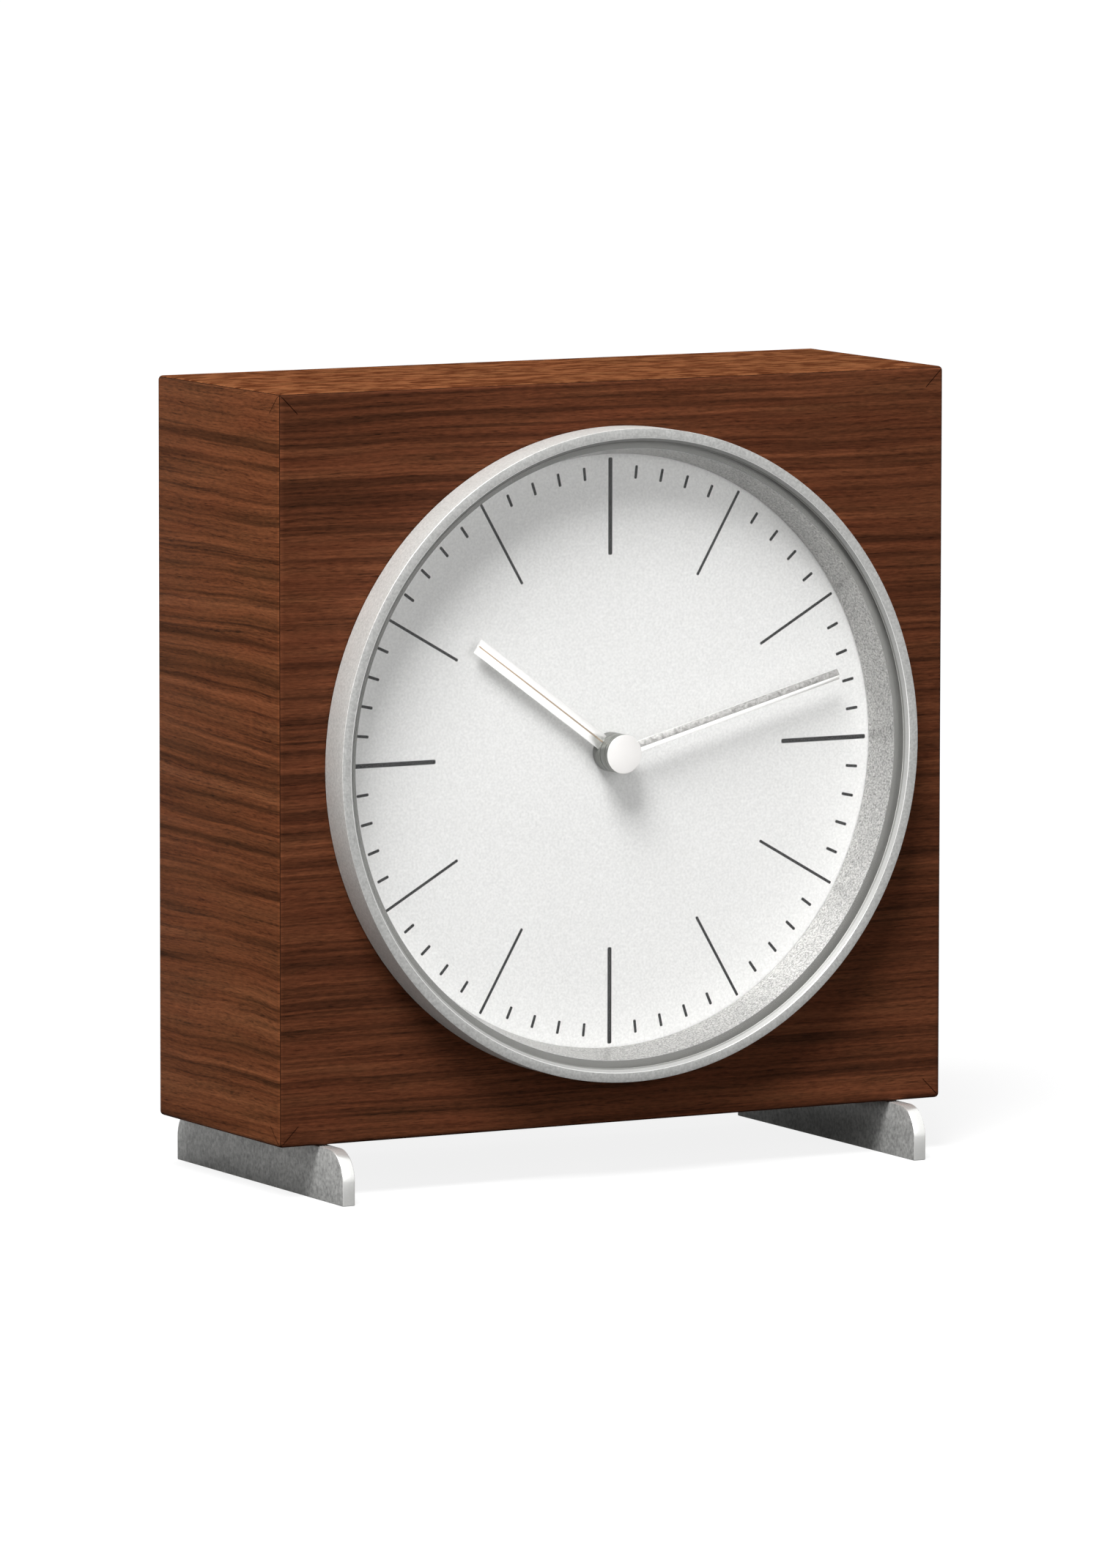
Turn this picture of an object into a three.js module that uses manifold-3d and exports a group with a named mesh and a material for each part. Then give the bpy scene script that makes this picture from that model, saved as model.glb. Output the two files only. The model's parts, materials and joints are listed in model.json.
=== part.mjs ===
// A desk clock in a veneered wooden case that stands on two aluminium plates.
// Lengths are in millimetres. X runs to the viewer's right, Y from the front to the back, Z up.
// The origin is on the surface that the clock stands on, under the middle of the case.

import * as THREE from 'three';
import { mergeVertices } from 'three/addons/utils/BufferGeometryUtils.js';
import Module from 'manifold-3d';

const wasm = await Module();
wasm.setup();

// Gaps that every fit shares
const glueGap = 0.1;
const fitGap = 0.2;
const runGap = 0.3;
const levelGap = 0.4;
const overrun = 1;
const weldDistance = 0.0001;

// Case of five mitred panels, open at the back
const caseWidth = 165;
const caseHeight = 163;
const caseDepth = 58;
const panelThickness = 9;
const panelEdgeRadius = 1;
const rebateWidth = 4;
const rearPanelThickness = 4;
const rearPanelInset = 2;
const rearOpeningWidth = 96;
const rearOpeningHeight = 100;
const rearOpeningRadius = 12;
const cornerBlockSize = 13;
const cornerBlockLength = 26;

// Feet cut from plate, each with a screwed flange under the case
const footHeight = 12;
const footLength = 79;
const footThickness = 3;
const footInset = 9.8;
const footCornerRadius = 6.6;
const footFlangeWidth = 13;
const footFlangeLength = 28;
const footFlangeThickness = 1.2;
const footScrewSpacing = 16;

// Screws
const screwHeadRadius = 2.9;
const screwHeadHeight = 1.5;
const screwShankRadius = 1.4;
const footScrewHeadHeight = 0.9;
const rearScrewGrip = 12;
const trayScrewGrip = 6;
const footScrewGrip = 6;

// Bezel, glass, reflector and dial, counted back from the bezel's front face
const bezelMargin = 10;
const bezelProtrusion = 8.2;
const bezelWall = 1.6;
const bezelFlatWidth = 2.1;
const bezelBevelWidth = 0.9;
const bezelBevelDepth = 1;
const bezelLipDepth = 1.2;
const bezelFlangeThickness = 2;
const bezelFlangeWidth = 2.2;
const bezelSpigotWall = 1.2;
const bezelEdge = 0.25;
const glassThickness = 1.2;
const reflectorFlangeWidth = 2.7;
const reflectorTaper = 1.8;
const reflectorWall = 0.8;
const dialDepth = 11.1;
const dialThickness = 0.6;

// Tray behind the dial, which carries the movement
const trayFloor = 2.5;
const trayWall = 2.2;
const trayFlangeThickness = 2.5;
const trayFlangeMargin = 0.4;
const trayFlangeCorner = 8;
const trayBossRadius = 13;
const trayBossWeb = 1.6;
const trayRibCount = 6;
const trayRibWidth = 1.6;
const trayRibHeight = 3;
const trayScrewInset = 7;
const nutThickness = 1.8;
const nutRadius = 6.9;
const nutSides = 6;
const washerThickness = 1;
const washerRadius = 10;

// Movement housing
const movementWall = 1.5;
const bushRadius = 3.9;
const arborRadius = 0.9;
const hourPipeWall = 1;
const middlePlateThickness = 1.2;
const pivotRadius = 0.5;
const pivotDepth = 0.9;
const pivotBossRadius = 1.8;
const pivotBossHeight = 1.5;
const cavityMargin = 3;
const wheelMargin = 0.6;

// Battery bay
const batteryRadius = 7.25;
const batteryLength = 50.5;
const batteryNubRadius = 2.75;
const batteryNubLength = 1.4;
const batteryRecess = 0.6;
const bayWall = 1.2;
const bayFloorThickness = 1.4;
const contactThickness = 0.4;
const contactWidth = 9;
const contactSpring = 0.95;

// Gear train: teeth, tooth shape and where each wheel stands
const trainModule = 0.48;
const motionModule = 0.4;
const rotorModule = 0.42;
const wheelThickness = 1;
const backlash = 0.1;
const pressureAngle = THREE.MathUtils.degToRad(28);
const addendumShare = 0.8;
const dedendumShare = 1.15;
const centreTeeth = 50;
const cannonTeeth = 10;
const changeTeeth = 30;
const changePinionTeeth = 8;
const hourTeeth = 32;
const secondTeeth = 30;
const secondPinionTeeth = 10;
const firstTeeth = 40;
const firstPinionTeeth = 10;
const rotorTeeth = 10;
const changeDirection = THREE.MathUtils.degToRad(200);
const secondDirection = THREE.MathUtils.degToRad(-35);
const firstDirection = THREE.MathUtils.degToRad(60);
const rotorDirection = THREE.MathUtils.degToRad(110);

// Motor
const magnetRadius = 3;
const magnetLength = 3;
const statorThickness = 1;
const statorRim = 2;
const statorReach = 31;
const statorPostRadius = 1;
const coilRadius = 3;
const coilFlangeRadius = 3.3;
const coilFlangeThickness = 0.8;

// Receiver: ferrite rod with its winding, board, crystal and chip
const rodRadius = 4;
const rodMargin = 2.5;
const rodCoilWall = 1;
const rodCoilLength = 16;
const cradleThickness = 2;
const cradleSpacing = 36;
const cradleHeight = 9;
const boardThickness = 1;
const boardHeight = 10;
const boardMargin = 1.5;
const crystalRadius = 1;
const crystalLength = 6;
const crystalOffset = 12;
const chipWidth = 7;
const chipHeight = 5;
const chipThickness = 1.2;

// Buttons on the back of the movement
const buttonRadius = 2.5;
const buttonFlangeRadius = 3.3;
const buttonFlangeThickness = 0.8;
const buttonStand = 1.4;
const buttonStemRadius = 1;
const buttonStemLength = 1.6;
const buttonSpacing = 8;
const buttonMargin = 5;
const buttonDrop = 12;

// Hands, counted forward from the dial. Directions are degrees clockwise from twelve.
const hubRadius = 4.3;
const hourHubLength = 3;
const minuteHubLength = 1.8;
const capLength = 1.25;
const capEdge = 0.15;
const handEdge = 0.35;
const handRidge = 0.6;
const handSetback = 0.1;
const hourHandMargin = 23;
const hourHandWidth = 3.4;
const hourHandAngle = 306.25;
const minuteHandMargin = 8.4;
const minuteHandWidth = 2.45;
const minuteHandAngle = 75;

// How finely round shapes are divided
const largeSegments = 60;
const hiddenSegments = 40;
const mediumSegments = 20;
const smallSegments = 12;
const screwSegments = 8;
const edgeSegments = 3;

// Planes and centres that follow from the sizes above
const caseBottom = footHeight;
const caseTop = caseBottom + caseHeight;
const dialHeight = caseBottom + caseHeight / 2;
const caseFront = -caseDepth / 2;
const caseBack = caseDepth / 2;
const panelBack = caseFront + panelThickness;
const innerHalfWidth = caseWidth / 2 - panelThickness;
const innerHalfHeight = caseHeight / 2 - panelThickness;
const rebateDepth = rearPanelThickness + rearPanelInset;
const rearPanelBack = caseBack - rearPanelInset;
const rearPanelFront = rearPanelBack - rearPanelThickness;

const bezelFront = caseFront - bezelProtrusion;
const bezelRadius = Math.min(caseWidth, caseHeight) / 2 - bezelMargin;
const bezelRecessRadius = bezelRadius - bezelWall;
const panelHoleRadius = bezelRadius - bezelFlangeWidth;
const spigotRadius = panelHoleRadius - fitGap;
const spigotBore = spigotRadius - bezelSpigotWall;
const glassFront = bezelFront + bezelLipDepth + fitGap;
const glassBack = glassFront + glassThickness;
const reflectorFront = glassBack + fitGap;
const reflectorFrontRadius = bezelRecessRadius - fitGap - reflectorFlangeWidth;
const reflectorRearRadius = reflectorFrontRadius - reflectorTaper;
const dialFront = bezelFront + dialDepth;
const dialBack = dialFront + dialThickness;
const dialRadius = spigotBore - fitGap;

const trayFront = dialBack + fitGap;
const trayFlangeFront = panelBack + fitGap;
const trayFlangeBack = trayFlangeFront + trayFlangeThickness;
const trayFloorBack = trayFront + trayFloor;
const trayBore = bushRadius + runGap;
const nutRecessRadius = nutRadius + runGap + fitGap;
const nutFront = trayFront + fitGap;
const nutBack = nutFront + nutThickness;
const nutSeat = nutBack + fitGap;
const trayBossBack = nutSeat + trayBossWeb;
const trayScrewX = innerHalfWidth - trayFlangeMargin - trayScrewInset;
const trayScrewZ = innerHalfHeight - trayFlangeMargin - trayScrewInset;
const washerFront = trayBossBack + fitGap;
const movementFront = washerFront + washerThickness + fitGap;
const frontInner = movementFront + movementWall;
const caseLip = frontInner + fitGap;

const hourWheelFront = frontInner + levelGap;
const changeWheelFront = hourWheelFront + wheelThickness + levelGap;
const middlePlateFront = changeWheelFront + wheelThickness + levelGap;
const middlePlateBack = middlePlateFront + middlePlateThickness;
const centreWheelFront = middlePlateBack + levelGap;
const secondWheelFront = centreWheelFront + wheelThickness + levelGap;
const firstWheelFront = secondWheelFront + wheelThickness + levelGap;
const magnetFront = firstWheelFront + wheelThickness + levelGap;
const magnetBack = magnetFront + magnetLength;
const statorFront = (magnetFront + magnetBack - statorThickness) / 2;
const statorBack = statorFront + statorThickness;

// The housing is as deep as the battery or the wheels need, whichever is more.
const batteryDepth = caseLip + bayFloorThickness + runGap + 2 * batteryRadius + batteryRecess;
const trainDepth = magnetBack + levelGap + pivotBossHeight + movementWall;
const movementBack = Math.max(batteryDepth, trainDepth);
const backInner = movementBack - movementWall;
const pivotSeat = backInner - pivotBossHeight;
const pivotEnd = pivotSeat + pivotDepth;
const batteryY = movementBack - batteryRecess - batteryRadius;
const bayFloor = batteryY - batteryRadius - runGap;

// Where a wheel stands, worked out from the wheel that it meshes with
function meshedCentre(from, teeth, otherTeeth, module, direction) {
  const distance = (teeth + otherTeeth) * module / 2;
  return { x: from.x + distance * Math.cos(direction), z: from.z + distance * Math.sin(direction) };
}

function wheelReach(teeth, module) {
  return (teeth / 2 + addendumShare) * module;
}

const centre = { x: 0, z: dialHeight };
const changeAt = meshedCentre(centre, cannonTeeth, changeTeeth, motionModule, changeDirection);
const secondAt = meshedCentre(centre, centreTeeth, secondPinionTeeth, trainModule, secondDirection);
const firstAt = meshedCentre(secondAt, secondTeeth, firstPinionTeeth, trainModule, firstDirection);
const rotorAt = meshedCentre(firstAt, firstTeeth, rotorTeeth, rotorModule, rotorDirection);

// The housing is as wide as the battery or the wheels need, and as high as its contents stacked up.
const bayHalfHeight = batteryRadius + levelGap;
const bayHalfLength = batteryLength / 2 + batteryNubLength / 2 + contactThickness + contactSpring + fitGap;
const trainHalfWidth = firstAt.x + wheelReach(firstTeeth, rotorModule) + wheelMargin;
const movementHalfWidth = Math.max(bayHalfLength, trainHalfWidth) + movementWall;
const innerHalf = movementHalfWidth - movementWall;
const centreReach = wheelReach(centreTeeth, trainModule);
const lowestTooth = Math.min(secondAt.z - wheelReach(secondTeeth, trainModule), dialHeight - centreReach);
const cavityFloor = lowestTooth - cavityMargin;
const bayCeiling = cavityFloor - bayWall;
const batteryZ = bayCeiling - bayHalfHeight;
const movementBottom = batteryZ - bayHalfHeight - movementWall;

const statorTop = rotorAt.z + coilFlangeRadius + fitGap + statorRim;
const rodCoilRadius = rodRadius + runGap + rodCoilWall;
const rodHalfLength = innerHalf - rodMargin;
const rodY = frontInner + levelGap + rodCoilRadius;
const rodZ = Math.max(statorTop, dialHeight + centreReach) + levelGap + rodCoilRadius;
const middlePlateTop = rodZ - rodCoilRadius - levelGap;
const cavityTop = rodZ + rodCoilRadius + levelGap;
const movementTop = cavityTop + movementWall;

const trayRibInnerRadius = Math.hypot(movementHalfWidth, dialHeight - movementBottom) + runGap;

// Turns a geometry into a closed solid with shared corners and faces that point out.
function solid(geometry) {
  const bare = geometry.clone();
  bare.deleteAttribute('normal');
  bare.deleteAttribute('uv');
  const merged = mergeVertices(bare, weldDistance);
  const points = merged.attributes.position.array;
  const corners = [];
  let volume = 0;
  for (let i = 0; i < merged.index.count; i += 3) {
    const [a, b, c] = [merged.index.array[i], merged.index.array[i + 1], merged.index.array[i + 2]];
    if (a === b || b === c || c === a) continue;
    corners.push([a, b, c]);
    const [p, q, r] = [a, b, c].map((k) => new THREE.Vector3().fromArray(points, 3 * k));
    volume += p.dot(q.cross(r));
  }
  const order = volume < 0 ? ([a, b, c]) => [a, c, b] : (triangle) => triangle;
  const triVerts = new Uint32Array(corners.flatMap(order));
  return new wasm.Manifold(new wasm.Mesh({ numProp: 3, vertProperties: new Float32Array(points), triVerts }));
}

function box(x, y, z) {
  const geometry = new THREE.BoxGeometry(x[1] - x[0], y[1] - y[0], z[1] - z[0]);
  geometry.translate((x[0] + x[1]) / 2, (y[0] + y[1]) / 2, (z[0] + z[1]) / 2);
  return solid(geometry);
}

// A round bar along Y at a place in the dial's plane
function disc(at, radius, front, back, segments) {
  const geometry = new THREE.CylinderGeometry(radius, radius, back - front, segments);
  geometry.translate(at.x, (front + back) / 2, at.z);
  return solid(geometry);
}

// A flat outline in X and Z, made solid from front to back
function plate(shape, front, back) {
  const geometry = new THREE.ExtrudeGeometry(shape, { depth: back - front, bevelEnabled: false });
  geometry.rotateX(Math.PI / 2);
  geometry.translate(0, back, 0);
  return solid(geometry);
}

// A profile of radius and Y turned about the Y axis through a place
function turned(at, profile, segments) {
  const geometry = new THREE.LatheGeometry(profile.map(([r, y]) => new THREE.Vector2(r, y)), segments);
  geometry.translate(at.x, 0, at.z);
  return solid(geometry);
}

// The same for a profile of radius and X, turned about a line along X
function turnedAlongX(y, z, profile, segments) {
  const geometry = new THREE.LatheGeometry(profile.map(([r, x]) => new THREE.Vector2(r, x)), segments);
  geometry.rotateZ(-Math.PI / 2);
  geometry.translate(0, y, z);
  return solid(geometry);
}

function roundedRectangle(x, z, radius) {
  const shape = new THREE.Shape();
  shape.absarc(x[1] - radius, z[1] - radius, radius, 0, Math.PI / 2);
  shape.absarc(x[0] + radius, z[1] - radius, radius, Math.PI / 2, Math.PI);
  shape.absarc(x[0] + radius, z[0] + radius, radius, Math.PI, 1.5 * Math.PI);
  shape.absarc(x[1] - radius, z[0] + radius, radius, 1.5 * Math.PI, 2 * Math.PI);
  return new THREE.Shape(shape.getPoints(edgeSegments).slice(0, -1));
}

// Case panels

// Section of a side, top or bottom panel: distance in from the outer face, and Y
function panelSection() {
  const r = panelEdgeRadius;
  const start = caseFront + glueGap;
  const points = [];
  for (let i = 0; i <= edgeSegments; i++) {
    const turn = Math.PI / 4 * (1 - i / edgeSegments);
    points.push(new THREE.Vector2(r - r * Math.cos(turn), start + r - r * Math.sin(turn)));
  }
  for (let i = 0; i <= edgeSegments; i++) {
    const turn = Math.PI / 2 * i / edgeSegments;
    points.push(new THREE.Vector2(r - r * Math.cos(turn), caseBack - r + r * Math.sin(turn)));
  }
  points.push(new THREE.Vector2(panelThickness - rebateWidth, caseBack));
  points.push(new THREE.Vector2(panelThickness - rebateWidth, caseBack - rebateDepth));
  points.push(new THREE.Vector2(panelThickness, caseBack - rebateDepth));
  points.push(new THREE.Vector2(panelThickness, start + panelThickness));
  return new THREE.Shape(points);
}

// A panel whose ends are mitred, so each corner of its section ends where the next panel meets it
function mitredPanel(halfLength, place) {
  const geometry = new THREE.ExtrudeGeometry(panelSection(), { depth: 1, bevelEnabled: false });
  const position = geometry.attributes.position;
  for (let i = 0; i < position.count; i++) {
    const inward = position.getX(i);
    const side = position.getZ(i) > 0.5 ? 1 : -1;
    const [x, z] = place(inward, side * (halfLength - inward - glueGap));
    position.setXYZ(i, x, position.getY(i), z);
  }
  return solid(geometry);
}

// The front panel is a plate with mitred edges: a square that shrinks with depth
function mitredFront() {
  const r = panelEdgeRadius;
  const levels = [];
  for (let i = 0; i <= edgeSegments; i++) {
    const turn = Math.PI / 4 * i / edgeSegments;
    levels.push({ depth: r - r * Math.cos(turn), inset: r - r * Math.sin(turn) });
  }
  levels.push({ depth: panelThickness, inset: panelThickness });
  const unit = new THREE.Shape([[-1, -1], [1, -1], [1, 1], [-1, 1]].map(([x, z]) => new THREE.Vector2(x, z)));
  const steps = levels.length - 1;
  const geometry = new THREE.ExtrudeGeometry(unit, { depth: steps, steps, bevelEnabled: false });
  const position = geometry.attributes.position;
  for (let i = 0; i < position.count; i++) {
    const { depth, inset } = levels[Math.round(position.getZ(i))];
    const x = position.getX(i) * (caseWidth / 2 - inset - glueGap);
    const z = dialHeight + position.getY(i) * (caseHeight / 2 - inset - glueGap);
    position.setXYZ(i, x, caseFront + depth, z);
  }
  return solid(geometry);
}

const corners = [
  { name: 'upper_left', x: -1, z: 1 },
  { name: 'upper_right', x: 1, z: 1 },
  { name: 'lower_left', x: -1, z: -1 },
  { name: 'lower_right', x: 1, z: -1 },
];

function frontPanel() {
  let panel = mitredFront();
  panel = panel.subtract(disc(centre, panelHoleRadius, caseFront - overrun, panelBack + overrun, largeSegments));
  for (const corner of corners) {
    const at = { x: corner.x * trayScrewX, z: dialHeight + corner.z * trayScrewZ };
    const end = panelBack - trayScrewGrip - runGap;
    panel = panel.subtract(disc(at, screwShankRadius + runGap, end, panelBack + overrun, screwSegments));
  }
  return panel;
}

function bottomPanel() {
  let panel = mitredPanel(caseWidth / 2, (inward, along) => [along, caseBottom + inward]);
  for (const place of footScrewPlaces()) {
    panel = panel.subtract(upright(place, screwShankRadius + runGap,
      caseBottom - overrun, caseBottom + footScrewGrip + runGap, screwSegments));
  }
  return panel;
}

// A round bar along Z
function upright(place, radius, bottom, top, segments) {
  const geometry = new THREE.CylinderGeometry(radius, radius, top - bottom, segments);
  geometry.rotateX(Math.PI / 2);
  geometry.translate(place.x, place.y, (bottom + top) / 2);
  return solid(geometry);
}

function cornerScrewAt(corner) {
  return {
    x: corner.x * (innerHalfWidth - glueGap - cornerBlockSize / 2),
    z: dialHeight + corner.z * (innerHalfHeight - glueGap - cornerBlockSize / 2),
  };
}

function cornerBlock(corner) {
  const at = cornerScrewAt(corner);
  const half = cornerBlockSize / 2;
  const back = rearPanelFront - fitGap;
  const block = box([at.x - half, at.x + half], [back - cornerBlockLength, back], [at.z - half, at.z + half]);
  const holeEnd = back - rearScrewGrip - runGap;
  return block.subtract(disc(at, screwShankRadius + runGap, holeEnd, back + overrun, screwSegments));
}

function rearPanel() {
  const halfWidth = innerHalfWidth + rebateWidth - fitGap;
  const halfHeight = innerHalfHeight + rebateWidth - fitGap;
  let panel = box([-halfWidth, halfWidth], [rearPanelFront, rearPanelBack],
    [dialHeight - halfHeight, dialHeight + halfHeight]);
  const opening = roundedRectangle([-rearOpeningWidth / 2, rearOpeningWidth / 2],
    [dialHeight - rearOpeningHeight / 2, dialHeight + rearOpeningHeight / 2], rearOpeningRadius);
  panel = panel.subtract(plate(opening, rearPanelFront - overrun, rearPanelBack + overrun));
  for (const corner of corners) {
    const at = cornerScrewAt(corner);
    const radius = screwShankRadius + runGap;
    panel = panel.subtract(disc(at, radius, rearPanelFront - overrun, rearPanelBack + overrun, screwSegments));
  }
  return panel;
}

// A pan-head screw along Y, its head resting on a face at seat and its shank running to the front
function screwForward(at, seat, length) {
  return turned(at, [
    [0, seat - length], [screwShankRadius, seat - length], [screwShankRadius, seat + fitGap],
    [screwHeadRadius, seat + fitGap], [screwHeadRadius, seat + fitGap + screwHeadHeight],
    [0, seat + fitGap + screwHeadHeight],
  ], screwSegments);
}

// Feet

function footScrewPlaces() {
  const flangeMiddle = caseWidth / 2 - footInset - footThickness - footFlangeWidth / 2;
  return [
    { name: 'left_front', x: -flangeMiddle, y: -footScrewSpacing / 2 },
    { name: 'left_rear', x: -flangeMiddle, y: footScrewSpacing / 2 },
    { name: 'right_front', x: flangeMiddle, y: -footScrewSpacing / 2 },
    { name: 'right_rear', x: flangeMiddle, y: footScrewSpacing / 2 },
  ];
}

function foot(side) {
  const top = caseBottom - fitGap;
  const half = footLength / 2;
  const r = footCornerRadius;
  const outline = new THREE.Shape();
  outline.moveTo(-half, 0);
  outline.lineTo(half, 0);
  outline.absarc(half - r, top - r, r, 0, Math.PI / 2);
  outline.absarc(-half + r, top - r, r, Math.PI / 2, Math.PI);
  const points = outline.getPoints(2 * edgeSegments);
  const geometry = new THREE.ExtrudeGeometry(new THREE.Shape(points), { depth: footThickness, bevelEnabled: false });
  // The outline's X becomes Y and its depth becomes X.
  geometry.rotateX(Math.PI / 2);
  geometry.rotateZ(Math.PI / 2);
  const outer = caseWidth / 2 - footInset;
  geometry.translate(side > 0 ? outer - footThickness : -outer, 0, 0);
  let piece = solid(geometry);
  const inner = outer - footThickness;
  const reach = [side * (inner - footFlangeWidth), side * (inner + footThickness / 2)].sort((a, b) => a - b);
  piece = piece.add(box(reach, [-footFlangeLength / 2, footFlangeLength / 2], [top - footFlangeThickness, top]));
  for (const place of footScrewPlaces().filter((p) => Math.sign(p.x) === side)) {
    piece = piece.subtract(upright(place, screwShankRadius + runGap,
      top - footFlangeThickness - overrun, top + overrun, screwSegments));
  }
  return piece;
}

function footScrew(place) {
  const seat = caseBottom - fitGap - footFlangeThickness - fitGap;
  const shank = upright(place, screwShankRadius, seat - footScrewHeadHeight / 2,
    caseBottom + footScrewGrip, screwSegments);
  return shank.add(upright(place, screwHeadRadius, seat - footScrewHeadHeight, seat, screwSegments));
}

// Bezel, glass, reflector, dial and tray

function bezel() {
  const rim = [[bezelRadius - bezelEdge, bezelFront], [bezelRadius, bezelFront + bezelEdge]];
  const step = caseFront - bezelFlangeThickness;
  const opening = bezelRadius - bezelFlatWidth - bezelBevelWidth;
  return turned(centre, [
    ...rim,
    [bezelRadius, caseFront - fitGap], [spigotRadius, caseFront - fitGap],
    [spigotRadius, panelBack], [spigotBore, panelBack],
    [spigotBore, step], [bezelRecessRadius, step],
    [bezelRecessRadius, bezelFront + bezelLipDepth], [opening, bezelFront + bezelLipDepth],
    [opening, bezelFront + bezelBevelDepth], [bezelRadius - bezelFlatWidth, bezelFront],
    rim[0],
  ], largeSegments);
}

function reflector() {
  const back = dialFront - fitGap;
  const flangeBack = reflectorFront + reflectorWall;
  return turned(centre, [
    [reflectorFrontRadius, reflectorFront], [bezelRecessRadius - fitGap, reflectorFront],
    [bezelRecessRadius - fitGap, flangeBack], [reflectorFrontRadius + reflectorWall, flangeBack],
    [reflectorRearRadius + reflectorWall, back], [reflectorRearRadius, back],
    [reflectorFrontRadius, reflectorFront],
  ], largeSegments);
}

function dial() {
  const hole = bushRadius + runGap;
  return turned(centre, [
    [hole, dialFront], [dialRadius, dialFront], [dialRadius, dialBack], [hole, dialBack], [hole, dialFront],
  ], largeSegments);
}

function dialTray() {
  const inner = dialRadius - trayWall;
  const dish = turned(centre, [
    [trayBore, nutSeat], [nutRecessRadius, nutSeat], [nutRecessRadius, trayFront], [dialRadius, trayFront],
    [dialRadius, trayFlangeBack], [inner, trayFlangeBack], [inner, trayFloorBack],
    [trayBossRadius, trayFloorBack], [trayBossRadius, trayBossBack], [trayBore, trayBossBack],
    [trayBore, nutSeat],
  ], hiddenSegments);
  const halfWidth = innerHalfWidth - trayFlangeMargin;
  const halfHeight = innerHalfHeight - trayFlangeMargin;
  const outline = roundedRectangle([-halfWidth, halfWidth],
    [dialHeight - halfHeight, dialHeight + halfHeight], trayFlangeCorner);
  let flange = plate(outline, trayFlangeFront, trayFlangeBack);
  const wallMiddle = dialRadius - trayWall / 2;
  flange = flange.subtract(
    disc(centre, wallMiddle, trayFlangeFront - overrun, trayFlangeBack + overrun, hiddenSegments));
  let tray = dish.add(flange);
  for (let i = 0; i < trayRibCount; i++) {
    const geometry = new THREE.BoxGeometry(wallMiddle - trayRibInnerRadius, trayRibHeight + trayFloor / 2, trayRibWidth);
    const start = trayFloorBack - trayFloor / 2;
    geometry.translate((wallMiddle + trayRibInnerRadius) / 2, start + (trayRibHeight + trayFloor / 2) / 2, 0);
    geometry.rotateY(2 * Math.PI * (i + 0.5) / trayRibCount);
    geometry.translate(centre.x, 0, centre.z);
    tray = tray.add(solid(geometry));
  }
  for (const corner of corners) {
    const at = { x: corner.x * trayScrewX, z: dialHeight + corner.z * trayScrewZ };
    tray = tray.subtract(disc(at, screwShankRadius + runGap,
      trayFlangeFront - overrun, trayFlangeBack + overrun, screwSegments));
  }
  return tray;
}

function movementNut() {
  const nut = disc(centre, nutRadius, nutFront, nutBack, nutSides);
  return nut.subtract(disc(centre, bushRadius + fitGap, nutFront - overrun, nutBack + overrun, mediumSegments));
}

function movementWasher() {
  const bore = bushRadius + fitGap;
  const back = washerFront + washerThickness;
  return turned(centre, [
    [bore, washerFront], [washerRadius, washerFront], [washerRadius, back], [bore, back], [bore, washerFront],
  ], mediumSegments);
}

// Movement housing

function movementFrontPlate() {
  const half = movementHalfWidth;
  let piece = box([-half, half], [movementFront, frontInner], [movementBottom, movementTop]);
  piece = piece.add(disc(centre, bushRadius, dialFront + fitGap, frontInner, mediumSegments));
  const bore = arborRadius + runGap + hourPipeWall + runGap;
  piece = piece.subtract(disc(centre, bore, dialFront - overrun, frontInner + overrun, mediumSegments));
  piece = piece.subtract(
    disc(changeAt, pivotRadius + runGap, frontInner - pivotDepth - glueGap, frontInner + overrun, smallSegments));
  // Two cradles hold the ferrite rod clear of the plate.
  for (const side of [-1, 1]) {
    const x = side * cradleSpacing / 2;
    piece = piece.add(box([x - cradleThickness / 2, x + cradleThickness / 2],
      [frontInner - movementWall / 2, rodY], [rodZ - cradleHeight / 2, rodZ + cradleHeight / 2]));
  }
  const rodSpace = new THREE.CylinderGeometry(
    rodRadius + fitGap, rodRadius + fitGap, 2 * rodHalfLength + overrun, mediumSegments);
  rodSpace.rotateZ(Math.PI / 2);
  rodSpace.translate(0, rodY, rodZ);
  return piece.subtract(solid(rodSpace));
}

function buttonPlaces() {
  const start = -innerHalf + buttonMargin;
  const z = dialHeight - buttonDrop;
  return ['set_button', 'reset_button', 'receive_button'].map((name, i) => (
    { name, x: start + i * buttonSpacing, z }));
}

function statorPosts() {
  return [
    { x: rotorAt.x - statorReach - statorPostRadius, z: rotorAt.z },
    { x: rotorAt.x + magnetRadius + statorRim, z: rotorAt.z - magnetRadius - statorPostRadius },
  ];
}

function movementCase() {
  const half = movementHalfWidth;
  let piece = box([-half, half], [caseLip, movementBack], [movementBottom, movementTop]);
  piece = piece.subtract(box([-innerHalf, innerHalf], [caseLip - overrun, backInner], [cavityFloor, cavityTop]));
  piece = piece.subtract(box([-bayHalfLength, bayHalfLength], [bayFloor, movementBack + overrun],
    [batteryZ - bayHalfHeight, bayCeiling]));
  for (const place of buttonPlaces()) {
    piece = piece.subtract(
      disc(place, buttonRadius + runGap, backInner - overrun, movementBack + overrun, mediumSegments));
  }
  const middle = backInner + movementWall / 2;
  for (const at of [centre, secondAt, firstAt, rotorAt]) {
    const shaft = at === centre ? arborRadius : pivotRadius;
    piece = piece.add(disc(at, pivotBossRadius, pivotSeat, middle, smallSegments));
    piece = piece.subtract(disc(at, shaft + runGap, pivotSeat - overrun, pivotEnd + fitGap, smallSegments));
  }
  for (const at of statorPosts()) {
    piece = piece.add(disc(at, statorPostRadius, statorBack + fitGap, middle, smallSegments));
  }
  return piece;
}

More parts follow.
